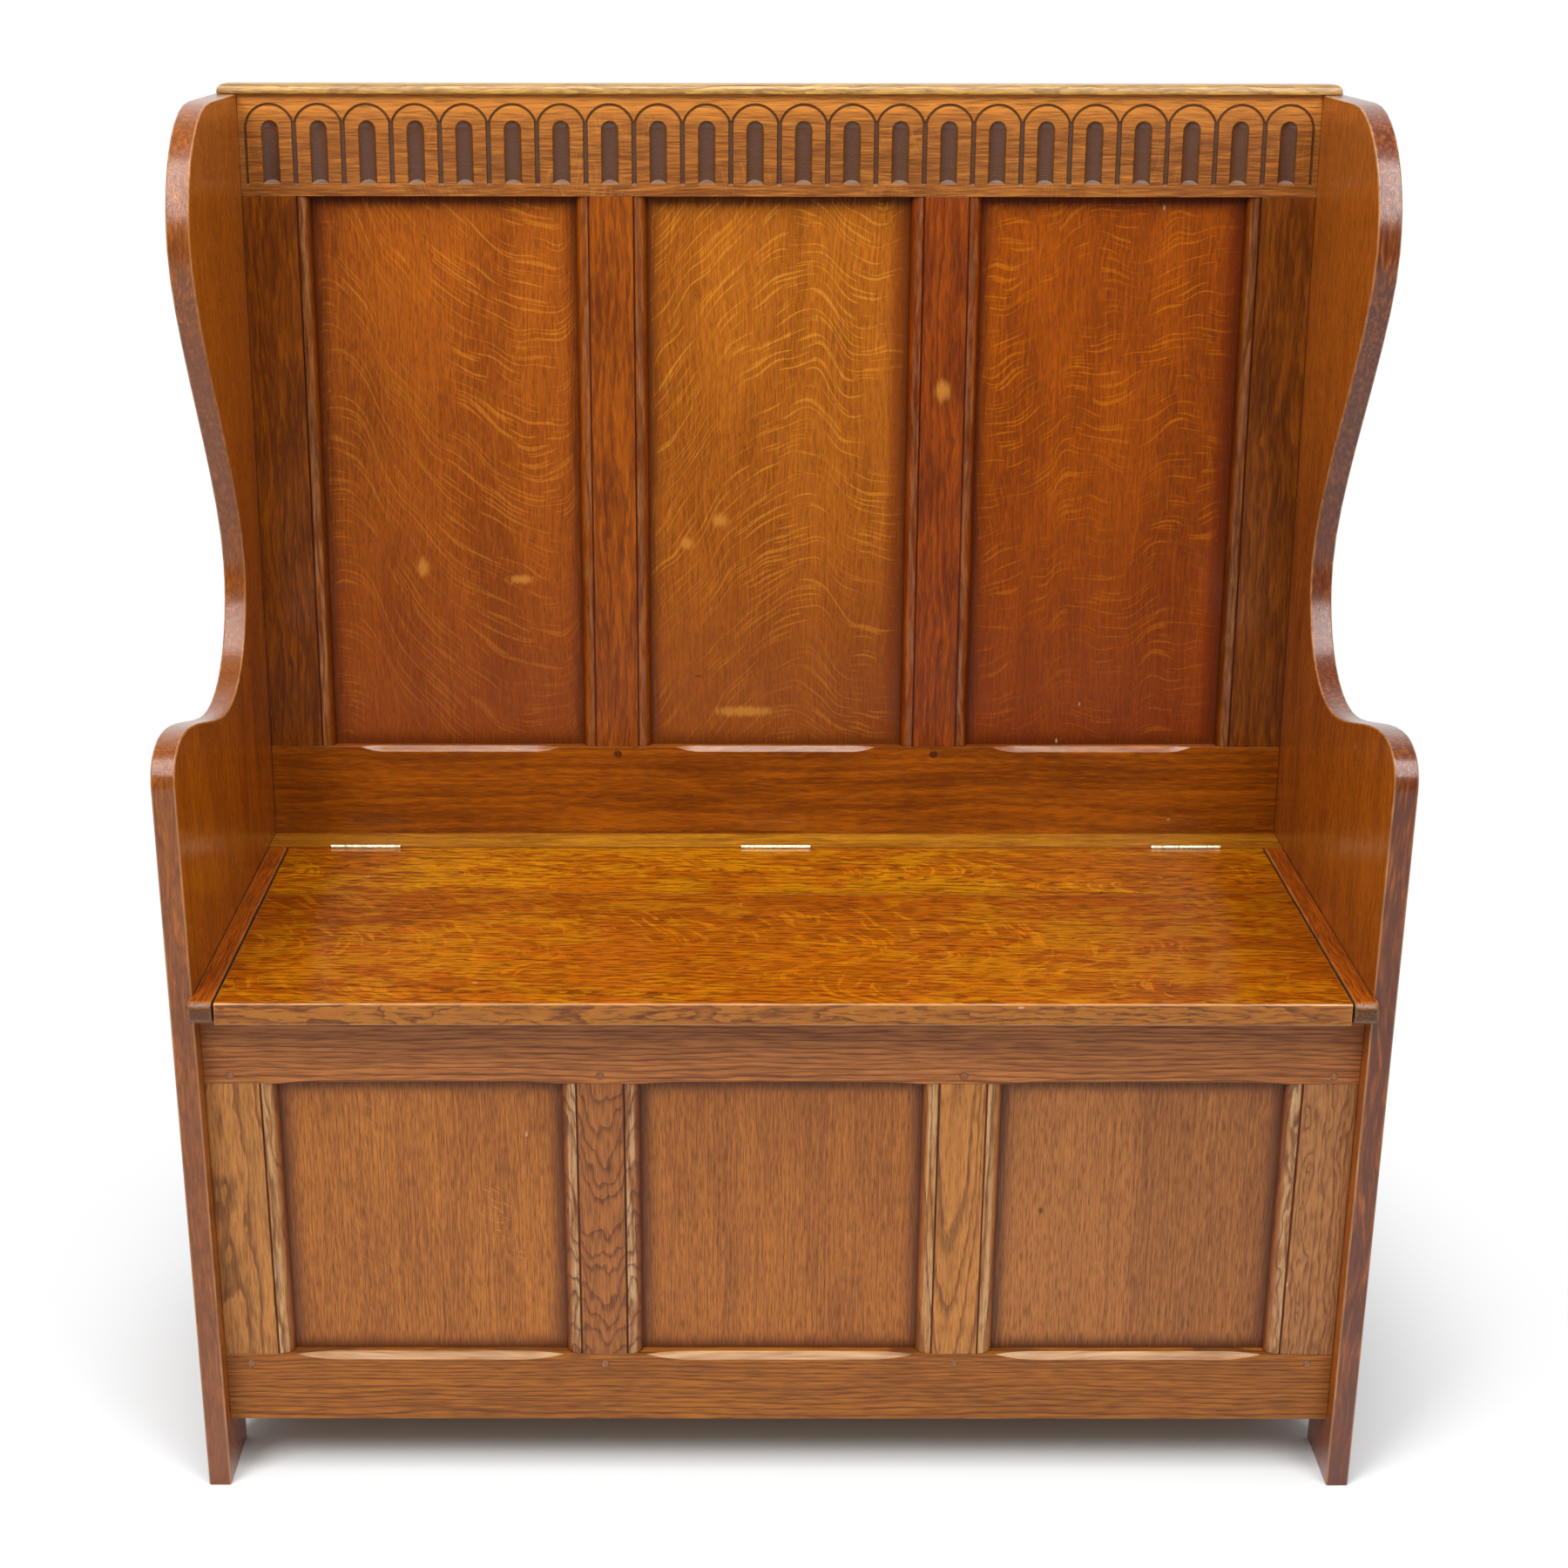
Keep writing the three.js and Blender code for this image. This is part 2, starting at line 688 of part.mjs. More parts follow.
// Clears the room that the hinges need in a board's edge: a recess for each leaf and
// a channel for its knuckles. towards is the way from the hinge line into the board.
function hingeRecesses(towards) {
  const leafOuter = leafGap / 2 + leafThickness + fitGap;
  const depths = [hingeLineDepth, hingeLineDepth + towards * leafOuter];
  const heights = [pinHeight - leafHeight - fitGap, pinHeight + cutOverrun];
  const channelRadius = knuckleRadius + fitGap;
  const tools = [];
  for (const x of Object.values(hingePlaces)) {
    const half = hingeLength / 2 + fitGap;
    const channel = new THREE.CylinderGeometry(channelRadius, channelRadius, 2 * half, knuckleSides);
    channel.rotateZ(Math.PI / 2).translate(x, hingeLineDepth, pinHeight);
    tools.push(block([x - half, x + half], [Math.min(...depths), Math.max(...depths)], heights));
    tools.push(channel);
  }
  return tools;
}

function addHingeRail(group) {
  const rearAtTop = backFaceDepth - fitGap;
  const rearAtBottom = rearAtTop - lidThickness * Math.tan(rake);
  const section = new THREE.Shape([
    new THREE.Vector2(hingeRailFront, lidBottom),
    new THREE.Vector2(rearAtBottom, lidBottom),
    new THREE.Vector2(rearAtTop, seatHeight),
    new THREE.Vector2(hingeRailFront, seatHeight),
  ]);
  const rail = extrudeAcross(section, fitGap - halfInner, halfInner - fitGap);
  group.add(piece("hinge_rail", cut(rail, hingeRecesses(1)), goldenOak, glossRoughness));
}

// One leaf with its knuckles, bored for the pin. The knuckles of the two leaves
// take turns: first is 0 for the leaf with the outermost ones, 1 for the other.
function leafGeometry(first, towards) {
  const pitch = hingeLength / knuckleCount;
  const start = -hingeLength / 2;
  const near = towards * leafGap / 2;
  const far = near + towards * leafThickness;
  const depths = [Math.min(near, far), Math.max(near, far)];
  const shoulder = -knuckleRadius - fitGap;
  const parts = [block([start, -start], depths, [-leafHeight, shoulder])];
  for (let i = first; i < knuckleCount; i += 2) {
    const x0 = start + i * pitch + fitGap / 2;
    const x1 = start + (i + 1) * pitch - fitGap / 2;
    const knuckle = new THREE.CylinderGeometry(knuckleRadius, knuckleRadius, x1 - x0, knuckleSides);
    parts.push(knuckle.rotateZ(Math.PI / 2).translate((x0 + x1) / 2, 0, 0));
    parts.push(block([x0, x1], depths, [shoulder - fitGap, 0]));
  }
  const boreRadius = pinRadius + pinClearance;
  const bore = new THREE.CylinderGeometry(boreRadius, boreRadius, hingeLength + cutOverrun, knuckleSides);
  return cut(join(parts), [bore.rotateZ(Math.PI / 2)]);
}

function addFixedHinges(group) {
  for (const [name, x] of Object.entries(hingePlaces)) {
    const leaf = piece(`hinge_leaf_fixed_${name}`, leafGeometry(0, 1), brassColour, brassRoughness, 1);
    leaf.position.set(x, hingeLineDepth, pinHeight);
    const shaft = new THREE.CylinderGeometry(pinRadius, pinRadius, hingeLength, knuckleSides);
    const pin = piece(`hinge_pin_${name}`, shaft.rotateZ(Math.PI / 2), brassColour, brassRoughness, 1);
    pin.position.copy(leaf.position);
    group.add(leaf, pin);
  }
}

function addLidBattens(lid) {
  const front = frontFrameRear + lidBattenFrontGap;
  const rear = lidRear - lidBattenRearGap;
  const top = lidBottom - fitGap;
  const bottom = top - lidBattenThickness;
  const section = new THREE.Shape([
    new THREE.Vector2(front, top),
    new THREE.Vector2(front, bottom + lidBattenChamfer),
    new THREE.Vector2(front + lidBattenChamfer, bottom),
    new THREE.Vector2(rear - lidBattenChamfer, bottom),
    new THREE.Vector2(rear, bottom + lidBattenChamfer),
    new THREE.Vector2(rear, top),
  ]);
  const spread = halfInner - lidBattenEndSetback;
  for (const [name, x] of Object.entries({ left: -spread, right: spread })) {
    const batten = extrudeAcross(section, x - lidBattenWidth / 2, x + lidBattenWidth / 2);
    lid.add(piece(`lid_batten_${name}`, batten, hiddenOak, bareRoughness));
  }
}

// The lid hangs in a group of its own on the hinge line, so it can be turned there
function addLid(group) {
  const lid = new THREE.Group();
  const widths = [-lidHalfWidth, lidHalfWidth];
  const frontSection = nosedSection(lidSeamDepth - fitGap / 2, lidArris);
  const frontBoard = extrudeAcross(frontSection, ...widths, 0, noseSteps);
  const rearBoard = block(widths, [lidSeamDepth + fitGap / 2, lidRear], [lidBottom, seatHeight]);
  lid.add(piece("lid_board_front", frontBoard, goldenOak, glossRoughness));
  lid.add(piece("lid_board_rear", cut(rearBoard, hingeRecesses(-1)), goldenOak, glossRoughness));
  addLidBattens(lid);
  for (const [name, x] of Object.entries(hingePlaces)) {
    const leaf = piece(`hinge_leaf_lid_${name}`, leafGeometry(1, -1), brassColour, brassRoughness, 1);
    leaf.position.set(x, hingeLineDepth, pinHeight);
    lid.add(leaf);
  }
  group.add(lid);
}

// Back board, floor and the bearers that carry the floor
function addStorageBox(group) {
  const widths = [fitGap - halfInner, halfInner - fitGap];
  const bearerTop = frontBottom + bearerHeight;
  const floorHeights = [bearerTop + fitGap, bearerTop + fitGap + floorThickness];
  const floorFront = frontFrameRear + fitGap;
  const floorRear = boxBackFront - fitGap;
  const backTop = backRailBottom - frameThickness * Math.sin(rake) - fitGap;
  const backBoard = block(widths, [boxBackFront, boxBackRear], [frontBottom, backTop]);
  group.add(piece("box_back", backBoard, hiddenOak, bareRoughness));
  const bearerHeights = [frontBottom, bearerTop];
  const bearers = {
    front: [floorFront, floorFront + bearerWidth],
    rear: [floorRear - bearerWidth, floorRear],
  };
  for (const [name, depths] of Object.entries(bearers)) {
    const bearer = block(widths, depths, bearerHeights);
    group.add(piece(`floor_bearer_${name}`, bearer, hiddenOak, bareRoughness));
  }
  const pitch = (floorRear - floorFront + floorBoardGap) / floorBoardCount;
  for (let i = 0; i < floorBoardCount; i += 1) {
    const y0 = floorFront + i * pitch;
    const board = block(widths, [y0, y0 + pitch - floorBoardGap], floorHeights);
    group.add(piece(`floor_board_${i + 1}`, board, hiddenOak, bareRoughness));
  }
}

const settle = new THREE.Group();
addEnds(settle);
addBack(settle);
addCap(settle);
addFront(settle);
addSideStrips(settle);
addHingeRail(settle);
addFixedHinges(settle);
addStorageBox(settle);
addLid(settle);

// Depths were counted from the end boards' front edges: centre the whole front to back
const rearmost = rearDepth(endHeight) + capRearOverhang;
settle.position.y = (lidOverhang - rearmost) / 2;

export default settle;
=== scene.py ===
"""An oak box settle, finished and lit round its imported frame.

Every board keeps the shape that the frame gives it. This file eases its edges, gives it oak
that was sawn, planed, stained and varnished, puts the screws in the hinges, and sets a plain
stage. Lengths are in metres, and in millimetres where a name ends in _mm.
"""

import math
from dataclasses import dataclass

import bmesh
import bpy
from mathutils import Euler, Matrix, Vector


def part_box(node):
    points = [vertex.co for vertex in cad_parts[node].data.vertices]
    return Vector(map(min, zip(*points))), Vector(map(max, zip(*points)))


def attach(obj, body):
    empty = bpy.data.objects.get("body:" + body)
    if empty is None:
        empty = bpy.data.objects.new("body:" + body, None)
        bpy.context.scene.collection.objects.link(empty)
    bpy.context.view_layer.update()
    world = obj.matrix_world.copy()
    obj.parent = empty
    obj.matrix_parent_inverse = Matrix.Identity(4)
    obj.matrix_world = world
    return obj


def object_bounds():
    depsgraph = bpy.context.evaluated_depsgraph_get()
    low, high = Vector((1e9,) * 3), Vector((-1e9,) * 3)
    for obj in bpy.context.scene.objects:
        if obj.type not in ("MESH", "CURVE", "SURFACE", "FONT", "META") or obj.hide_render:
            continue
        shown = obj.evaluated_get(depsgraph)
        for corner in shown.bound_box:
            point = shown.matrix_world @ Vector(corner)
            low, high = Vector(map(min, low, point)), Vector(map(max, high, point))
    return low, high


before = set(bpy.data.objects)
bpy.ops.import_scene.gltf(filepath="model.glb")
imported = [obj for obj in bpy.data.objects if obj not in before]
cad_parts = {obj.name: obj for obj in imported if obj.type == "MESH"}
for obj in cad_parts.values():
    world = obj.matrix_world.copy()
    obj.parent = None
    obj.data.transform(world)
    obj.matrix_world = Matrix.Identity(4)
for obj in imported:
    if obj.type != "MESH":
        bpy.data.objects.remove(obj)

bl_info = {
    "name": "Oak Settle Finish",
    "version": (1, 0, 0),
    "blender": (4, 5, 0),
    "location": "3D View > Sidebar > Settle",
    "description": "Finishes an oak box settle round its packed frame",
    "category": "Object",
}

MM = 0.001
CAD_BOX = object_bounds()

X = Vector((1, 0, 0))
Y = Vector((0, 1, 0))
Z = Vector((0, 0, 1))

# The back leans: its centre panel's broad face says how far
BROAD_FACE = max(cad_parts["back_panel_centre"].data.polygons, key=lambda face: face.area)
RAKE = math.atan2(abs(BROAD_FACE.normal.z), abs(BROAD_FACE.normal.y))
RAKED_UP = Vector((0, math.sin(RAKE), math.cos(RAKE)))
RAKED_IN = Vector((0, math.cos(RAKE), -math.sin(RAKE)))

# A board's own directions: across its width, from its seen face inwards, and along its grain
UPRIGHT = (X, Y, Z)
RAIL = (-Z, Y, X)
RAKED_UPRIGHT = (X, RAKED_IN, RAKED_UP)
RAKED_RAIL = (-RAKED_UP, RAKED_IN, X)
SEAT = (-Y, -Z, X)
STRIP = (X, -Z, -Y)
LEFT_END = (Y, -X, Z)
RIGHT_END = (-Y, X, Z)

# A range that eases in and out, where stain or wear fades
SMOOTH = {"interpolation_type": "SMOOTHSTEP"}


def linear(hex_colour):
    """An sRGB hex colour as linear red, green and blue."""
    parts = [int(hex_colour[i : i + 2], 16) / 255 for i in (1, 3, 5)]
    return [c / 12.92 if c <= 0.04045 else ((c + 0.055) / 1.055) ** 2.4 for c in parts]


def colour(name, description, hex_colour):
    """A colour property whose default is an sRGB hex colour."""
    return bpy.props.FloatVectorProperty(
        name=name, description=description, subtype="COLOR", size=3, min=0, max=1,
        default=linear(hex_colour),
    )


def length(name, description, millimetres):
    """A length property, given in millimetres."""
    return bpy.props.FloatProperty(
        name=name, description=description, unit="LENGTH", min=0, default=millimetres * MM
    )


class OakTones(bpy.types.PropertyGroup):
    """The tone that stain and age gave each board."""

    end_left: colour("Left end", "Inner face of the left end", "#ac5c09")
    end_right: colour("Right end", "Inner face of the right end", "#a65813")
    end_edge_left: colour("Left end's edge", "Sawn edge of the left end", "#7e451c")
    end_edge_right: colour("Right end's edge", "Sawn edge of the right end", "#5d2e1c")
    back_stile_left: colour("Back left stile", "Dark upright at the left", "#864403")
    back_stile_right: colour("Back right stile", "Dark upright at the right", "#7c4009")
    back_muntin_left: colour("Back left muntin", "Upright between panels", "#964a05")
    back_muntin_right: colour("Back right muntin", "Upright between panels", "#8b3d03")
    back_panel_left: colour("Back left panel", "Orange-brown panel", "#9c5011")
    back_panel_centre: colour("Back centre panel", "Golden panel", "#a65d15")
    back_panel_right: colour("Back right panel", "Redder panel", "#974703")
    back_bottom_rail: colour("Back rail", "Rail above the seat", "#974d05")
    carved_rail: colour("Carved rail", "Face of the carved rail", "#905523")
    cap_rail: colour("Cap", "Cap over the back", "#b88b3e")
    hinge_rail: colour("Hinge rail", "Rail behind the lid", "#ba7c19")
    lid_board_front: colour("Lid front", "Front board of the lid", "#9d5103")
    lid_board_rear: colour("Lid rear", "Rear board of the lid", "#a55903")
    lid_edge: colour("Lid edge", "Front edge of the lid", "#9e6012")
    lid_under: colour("Lid underside", "Bare wood under the lid", "#8a6238")
    strip: colour("Side strips", "Strips beside the lid", "#9a4903")
    strip_nose: colour("Strip ends", "End grain of the side strips", "#432f12")
    front_top_rail: colour("Front top rail", "Rail under the seat", "#ad682f")
    front_bottom_rail: colour("Front bottom rail", "Rail above the floor", "#985709")
    front_stile_left: colour("Front left stile", "Pale upright at the left", "#ae7235")
    front_stile_right: colour("Front right stile", "Pale upright at the right", "#a36a39")
    front_muntin_left: colour("Front left muntin", "Upright between panels", "#975926")
    front_muntin_right: colour("Front right muntin", "Upright between panels", "#ae6f30")
    front_panel_left: colour("Front left panel", "Panel of the box", "#a76322")
    front_panel_centre: colour("Front centre panel", "Panel of the box", "#a25f21")
    front_panel_right: colour("Front right panel", "Panel of the box", "#9d602b")
    back_peg: colour("Back pegs", "Pegs of the back", "#5c2c0c")
    front_peg: colour("Front pegs", "Pegs of the front", "#905a34")
    inside: colour("Inside", "Unvarnished boards of the box", "#a67c4e")


class OakFinish(bpy.types.PropertyGroup):
    """What the cutter, the stain, the varnish and the years did to every board, with painted
    light and shade on its ledges, crests and cuts.
    """

    flute: colour("Flute", "Old dirt in the carved flutes", "#573c30")
    # The cut lines' dark is stain and painted shade
    cut_line: colour("Cut line", "Stain in the incised lines", "#3f2712")
    ledge: colour("Ledge", "Chamfers where dust and light lie", "#cba47a")
    arris: colour("Worn arris", "Bare wood on rubbed edges", "#cf9a64")
    # The crests' pale, here and below, is dust and painted highlight
    front_crest: colour("Front crests", "Dusty crests of the front mouldings", "#c09a6e")
    back_crest: colour("Back crests", "Crests of the back mouldings", "#8a5a36")
    golden_crest: colour("Golden crest", "Crest beside the back's left stile", "#a06a3a")
    nick: colour("Nick", "Small chips that reach pale wood", "#d8b893")
    smudge: colour("Smudge", "Dull pale marks in the varnish", "#b9792c")
    edge_radius: length("Edge radius", "How far the planed edges are eased", 0.5)
    sheen_roughness: bpy.props.FloatProperty(
        name="Sheen roughness", description="Roughness of the varnish", min=0, max=1, default=0.28
    )


class HingeMetal(bpy.types.PropertyGroup):
    """The butt hinges and their screws."""

    brass: colour("Brass", "Cast brass, rubbed pale on the knuckles", "#f0e2bb")
    tarnish: colour("Tarnish", "Brown tarnish between the knuckles", "#7a6038")
    screw_head: length("Screw head", "Diameter of a countersunk screw head", 5.5)
    screw_slot: length("Screw slot", "Width of a screw's slot", 0.9)
    screw_proud: length("Screw stands", "How far a screw head stands off its leaf", 0.12)
    screw_sunk: length("Screw sunk", "How deep a screw head sits in its leaf", 0.2)
    brass_radius: length("Brass radius", "How far the brass edges are eased", 0.15)


class Stage(bpy.types.PropertyGroup):
    """Floor, lamps and camera."""

    floor: colour("Floor", "Plain pale floor", "#e0e0e0")
    seen_floor: colour("Seen floor", "The floor where it is looked at", "#eceff0")
    floor_size: length("Floor size", "Length of the paper floor's side", 5000)
    shadow_near: length("Near shadow", "How far out the shadow starts to fade", 520)
    shadow_far: length("Far shadow", "How far out the shadow has faded", 840)
    room_light: bpy.props.FloatProperty(
        name="Room light", description="Light from the room overhead", min=0, default=0.62
    )
    lens: bpy.props.FloatProperty(
        name="Lens", description="Focal length of the camera's lens", unit="CAMERA", default=54.818
    )


def add(tree, kind, inputs=None, **settings):
    """Adds a shader node. Inputs, by name or number, take a value, a node or a socket."""
    node = tree.nodes.new("ShaderNode" + kind)
    for key, value in settings.items():
        setattr(node, key, value)
    for key, value in (inputs or {}).items():
        if isinstance(key, str):
            socket = next(s for s in node.inputs if s.enabled and s.name == key)
        else:
            socket = node.inputs[key]
        if isinstance(value, bpy.types.Node):
            value = next(s for s in value.outputs if s.enabled)
        if isinstance(value, bpy.types.NodeSocket):
            tree.links.new(value, socket)
        else:
            socket.default_value = value
    return node


def empty_tree(owner):
    """An owner's node tree, cleared."""
    owner.use_nodes = True
    owner.node_tree.nodes.clear()
    return owner.node_tree


def opaque(rgb):
    """A colour with full alpha, as a colour socket takes it."""
    return (*rgb, 1)


def shape_curve(node, points):
    """Gives a Float Curve node these points."""
    curve = node.mapping.curves[0]
    while len(curve.points) < len(points):
        curve.points.new(0.5, 0.5)
    for target, place in zip(curve.points, points):
        target.location = place
        target.handle_type = "AUTO_CLAMPED"
    node.mapping.update()


@dataclass
class Board:
    """One board: how it lies, how it was cut from the tree, and how it has worn.

    Traits such as rings and pores say how strongly they show, from 0 to 1. Tones such as dark
    and pale are shares of the board's own red, green and blue. Places on a board are in
    millimetres from its middle, or from its low edge in bands (across) and stretches (along).
    """

    node: str
    lie: tuple
    seed: int
    # Its own colour, or else the tone that bears its node's name
    ground: tuple = ()
    # Where the tree's heart lies across and behind the board's middle, and how fast it
    # drifts that way along the grain, which draws arches on a board sawn near the heart
    heart_mm: tuple = (400, 40)
    lean: tuple = (0, 0)
    ring_mm: float = 3
    ring_line: tuple = ((0, 0.1), (0.06, 0.95), (0.24, 0.8), (0.55, 0.2), (0.9, 0), (1, 0.1))
    rings: float = 0.35
    # How far the heart strays across and behind, over lengths like these, and how far
    # single rings wave
    wander_mm: tuple = (6, 6)
    drift_mm: tuple = (70, 220)
    ruffle_mm: float = 1
    pore_mm: tuple = (0.9, 14)
    streak_mm: tuple = (4, 90)
    streaks: float = 0.25
    pores: float = 0.45
    cloud_mm: tuple = (45, 260)
    clouds: float = 0.35
    dark: tuple = (0.5, 0.42, 0.36)
    pale: tuple = (1.5, 1.55, 1.45)
    deep: tuple = (0.3, 0.22, 0.18)
    # Tone of the dark bands and stretches, in places painted shade
    dusk: tuple = (0.4, 0.15, 0.1)
    # Ray flecks: their thickness and length, and the line they follow, as a share of the
    # board's width and a rise in millimetres
    flecks: float = 0
    fleck_mm: tuple = (1.4, 22)
    fleck_cover: float = 0.5
    fleck_tone: tuple = (1.75, 2.4, 2.8)
    sweep: tuple = ((0, 0), (1, 0))
    # Broad ray figure: patches, as on the lid
    figure: float = 0
    figure_mm: tuple = (15, 46)
    figure_tone: tuple = (1.4, 2.3, 2)
    # A panel's dark sight edges, stain and wax with painted shade, and how far in they reach
    edge_stain_and_shade: float = 0
    edge_stain_and_shade_mm: float = 10
    bands: tuple = ()
    crest: tuple = ()
    stretches: tuple = ()
    smudges: tuple = ()
    knots: tuple = ()
    stains: tuple = ()
    ledge: float = 0
    wear: float = 0
    wear_sides_only: bool = False
    rim: tuple = ()
    # Bare wood on the far side of a board varnished on its seen side only
    under: tuple = ()
    hollow_mm: float = 0
    coat: float = 0
    roughness: tuple = (0.22, 0.3)

    def __post_init__(self):
        self.ground = self.ground or getattr(bpy.context.scene.oak_tones, self.node)
        self.across, self.inward, _ = self.lie
        self.basis = Matrix(self.lie).transposed()
        turn = self.basis.transposed()
        corners = [turn @ vertex.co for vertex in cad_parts[self.node].data.vertices]
        low, high = (Vector([pick(part) for part in zip(*corners)]) for pick in (min, max))
        self.centre = self.basis @ ((low + high) / 2)
        self.half = (high - low) / 2

    def tone(self, shares):
        """The board's own colour, with each part scaled by its share."""
        return opaque([min(1, part * share) for part, share in zip(self.ground, shares)])


def drawn_out(tree, board, where, size_mm, offset, detail=2):
    """Mottling along the grain, its marks this wide and long. Each use has its own offset."""
    across, along = (1 / (size * MM) for size in size_mm)
    placed = add(tree, "Mapping", {
        "Vector": where, "Scale": (across, across, along),
        "Location": (board.seed * 3.7 + offset, board.seed * 1.9, offset * 2.3),
    })
    return add(tree, "TexNoise", {"Vector": placed, "Scale": 1, "Detail": detail})


def growth_rings(tree, board, where):
    """1 in a ring's spring growth, whose open pores took the stain, and 0 in its summer."""
    across, behind = (place * MM for place in board.heart_mm)
    lean = Euler((-math.atan(board.lean[1]), math.atan(board.lean[0]), 0))
    heart = add(tree, "Mapping", {
        "Vector": where, "Location": (across, behind, 0), "Rotation": lean,
    }, vector_type="TEXTURE")
    level = add(tree, "VectorMath", {0: heart, 1: (1, 1, 0)}, operation="MULTIPLY")
    radius = add(tree, "VectorMath", {0: level}, operation="LENGTH")
    count = add(tree, "Math", {
        0: radius.outputs["Value"], 1: board.ring_mm * MM,
    }, operation="DIVIDE")
    # Good and bad years: the rings crowd and spread
    years = add(tree, "TexNoise", {"W": count, "Scale": 0.23, "Detail": 1}, noise_dimensions="1D")
    uneven = add(tree, "Math", {0: years, 1: 3.2, 2: count}, operation="MULTIPLY_ADD")
    ring = add(tree, "Math", {0: uneven}, operation="FRACT")
    line = add(tree, "FloatCurve", {"Value": ring})
    shape_curve(line, board.ring_line)
    return line


def ray_flecks(tree, board, where):
    """1 on broken lines that follow the board's sweep, where its rays come to the surface."""
    parts = add(tree, "SeparateXYZ", {"Vector": where})
    share = add(tree, "MapRange", {
        "Value": parts.outputs["X"], "From Min": -board.half.x, "From Max": board.half.x,
    })
    rises = [rise for _, rise in board.sweep]
    low, span = min(rises), max(max(rises) - min(rises), 1)
    line = add(tree, "FloatCurve", {"Value": share})
    shape_curve(line, [(x, (rise - low) / span) for x, rise in board.sweep])
    rise = add(tree, "Math", {0: line, 1: span * MM}, operation="MULTIPLY")
    level = add(tree, "Math", {0: parts.outputs["Z"], 1: rise}, operation="SUBTRACT")
    sway = drawn_out(tree, board, where, (55, 90), 31, 1)
    swaying = add(tree, "Math", {0: sway, 1: 40 * MM, 2: level}, operation="MULTIPLY_ADD")
    flow = add(tree, "CombineXYZ", {"X": parts.outputs["X"], "Y": parts.outputs["Y"], "Z": swaying})
    thick, long = board.fleck_mm
    streaks = drawn_out(tree, board, flow, (long, thick), 17, 1)
    marks = add(tree, "MapRange", {"Value": streaks, "From Min": 0.57, "From Max": 0.65}, **SMOOTH)
    cover = drawn_out(tree, board, where, (60, 110), 57)
    start = 0.62 - 0.35 * board.fleck_cover
    patches = add(tree, "MapRange", {
        "Value": cover, "From Min": start, "From Max": start + 0.2,
    }, **SMOOTH)
    return add(tree, "Math", {0: marks, 1: patches}, operation="MULTIPLY")


def ray_figure(tree, board, where):
    """1 on broad patches with torn edges, where rays lie flat in the surface."""
    curl = drawn_out(tree, board, where, (40, 60), 71, 1)
    curled = add(tree, "VectorMath", {
        0: curl.outputs["Color"], 1: (30 * MM, 0, 60 * MM), 2: where,
    }, operation="MULTIPLY_ADD")
    patches = drawn_out(tree, board, curled, board.figure_mm, 73, 7)
    here = drawn_out(tree, board, where, (80, 170), 79, 1)
    level = add(tree, "Math", {0: here, 1: 0.6, 2: patches}, operation="MULTIPLY_ADD")
    return add(tree, "MapRange", {"Value": level, "From Min": 0.79, "From Max": 0.88}, **SMOOTH)


def stain_and_shade_border(tree, board, where, streaks):
    """1 along the sight edges, where stain and wax gathered, with painted shade from the frame,
    fading inwards in streaks.
    """
    outward = add(tree, "VectorMath", {0: where}, operation="ABSOLUTE")
    # About this much of a panel's edge sits in the grooves
    inset = 6 * MM
    room = (board.half.x - inset, board.half.y, board.half.z - inset)
    inside = add(tree, "VectorMath", {0: room, 1: outward}, operation="SUBTRACT")
    parts = add(tree, "SeparateXYZ", {"Vector": inside})
    nearest = add(tree, "Math", {
        0: parts.outputs["X"], 1: parts.outputs["Z"], 2: 8 * MM,
    }, operation="SMOOTH_MIN")
    # The streaks' noise is a half on average, so both ends of the range move by half the fray
    fray = 22 * MM
    ragged = add(tree, "Math", {0: streaks, 1: -fray, 2: nearest}, operation="MULTIPLY_ADD")
    low, high = -fray / 2, board.edge_stain_and_shade_mm * MM - fray / 2
    return add(tree, "MapRange", {"Value": ragged, "From Min": high, "From Max": low}, **SMOOTH)


def facing(tree, direction, low, high, both_ways=True):
    """Rises from 0 to 1 as a face's slope along this direction goes from low to high."""
    local = add(tree, "VectorTransform", {
        "Vector": add(tree, "NewGeometry").outputs["True Normal"],
    }, vector_type="NORMAL", convert_from="WORLD", convert_to="OBJECT")
    along = add(tree, "VectorMath", {0: local, 1: direction}, operation="DOT_PRODUCT")
    slope = along.outputs["Value"]
    if both_ways:
        slope = add(tree, "Math", {0: slope}, operation="ABSOLUTE")
    return add(tree, "MapRange", {"Value": slope, "From Min": low, "From Max": high}, **SMOOTH)


def slanting(tree, directions):
    """1 on faces that are square with none of these directions, such as rounded arrises."""
    squarest, *others = (facing(tree, direction, 0.94, 0.98) for direction in directions)
    for square in others:
        squarest = add(tree, "Math", {0: squarest, 1: square}, operation="MAXIMUM")
    return add(tree, "Math", {0: 1, 1: squarest}, operation="SUBTRACT")


def banded(tree, half, distance, points):
    """Reads off a curve over a board's width or length: how dark and how pale it is there."""
    share = add(tree, "MapRange", {"Value": distance, "From Min": -half, "From Max": half})
    curve = add(tree, "FloatCurve", {"Value": share})
    shape_curve(curve, [(place * MM / (2 * half), 0.5 + value / 2) for place, value in points])
    dark = add(tree, "MapRange", {"Value": curve, "From Min": 0.5, "From Max": 0})
    pale = add(tree, "MapRange", {"Value": curve, "From Min": 0.5, "From Max": 1})
    return dark, pale


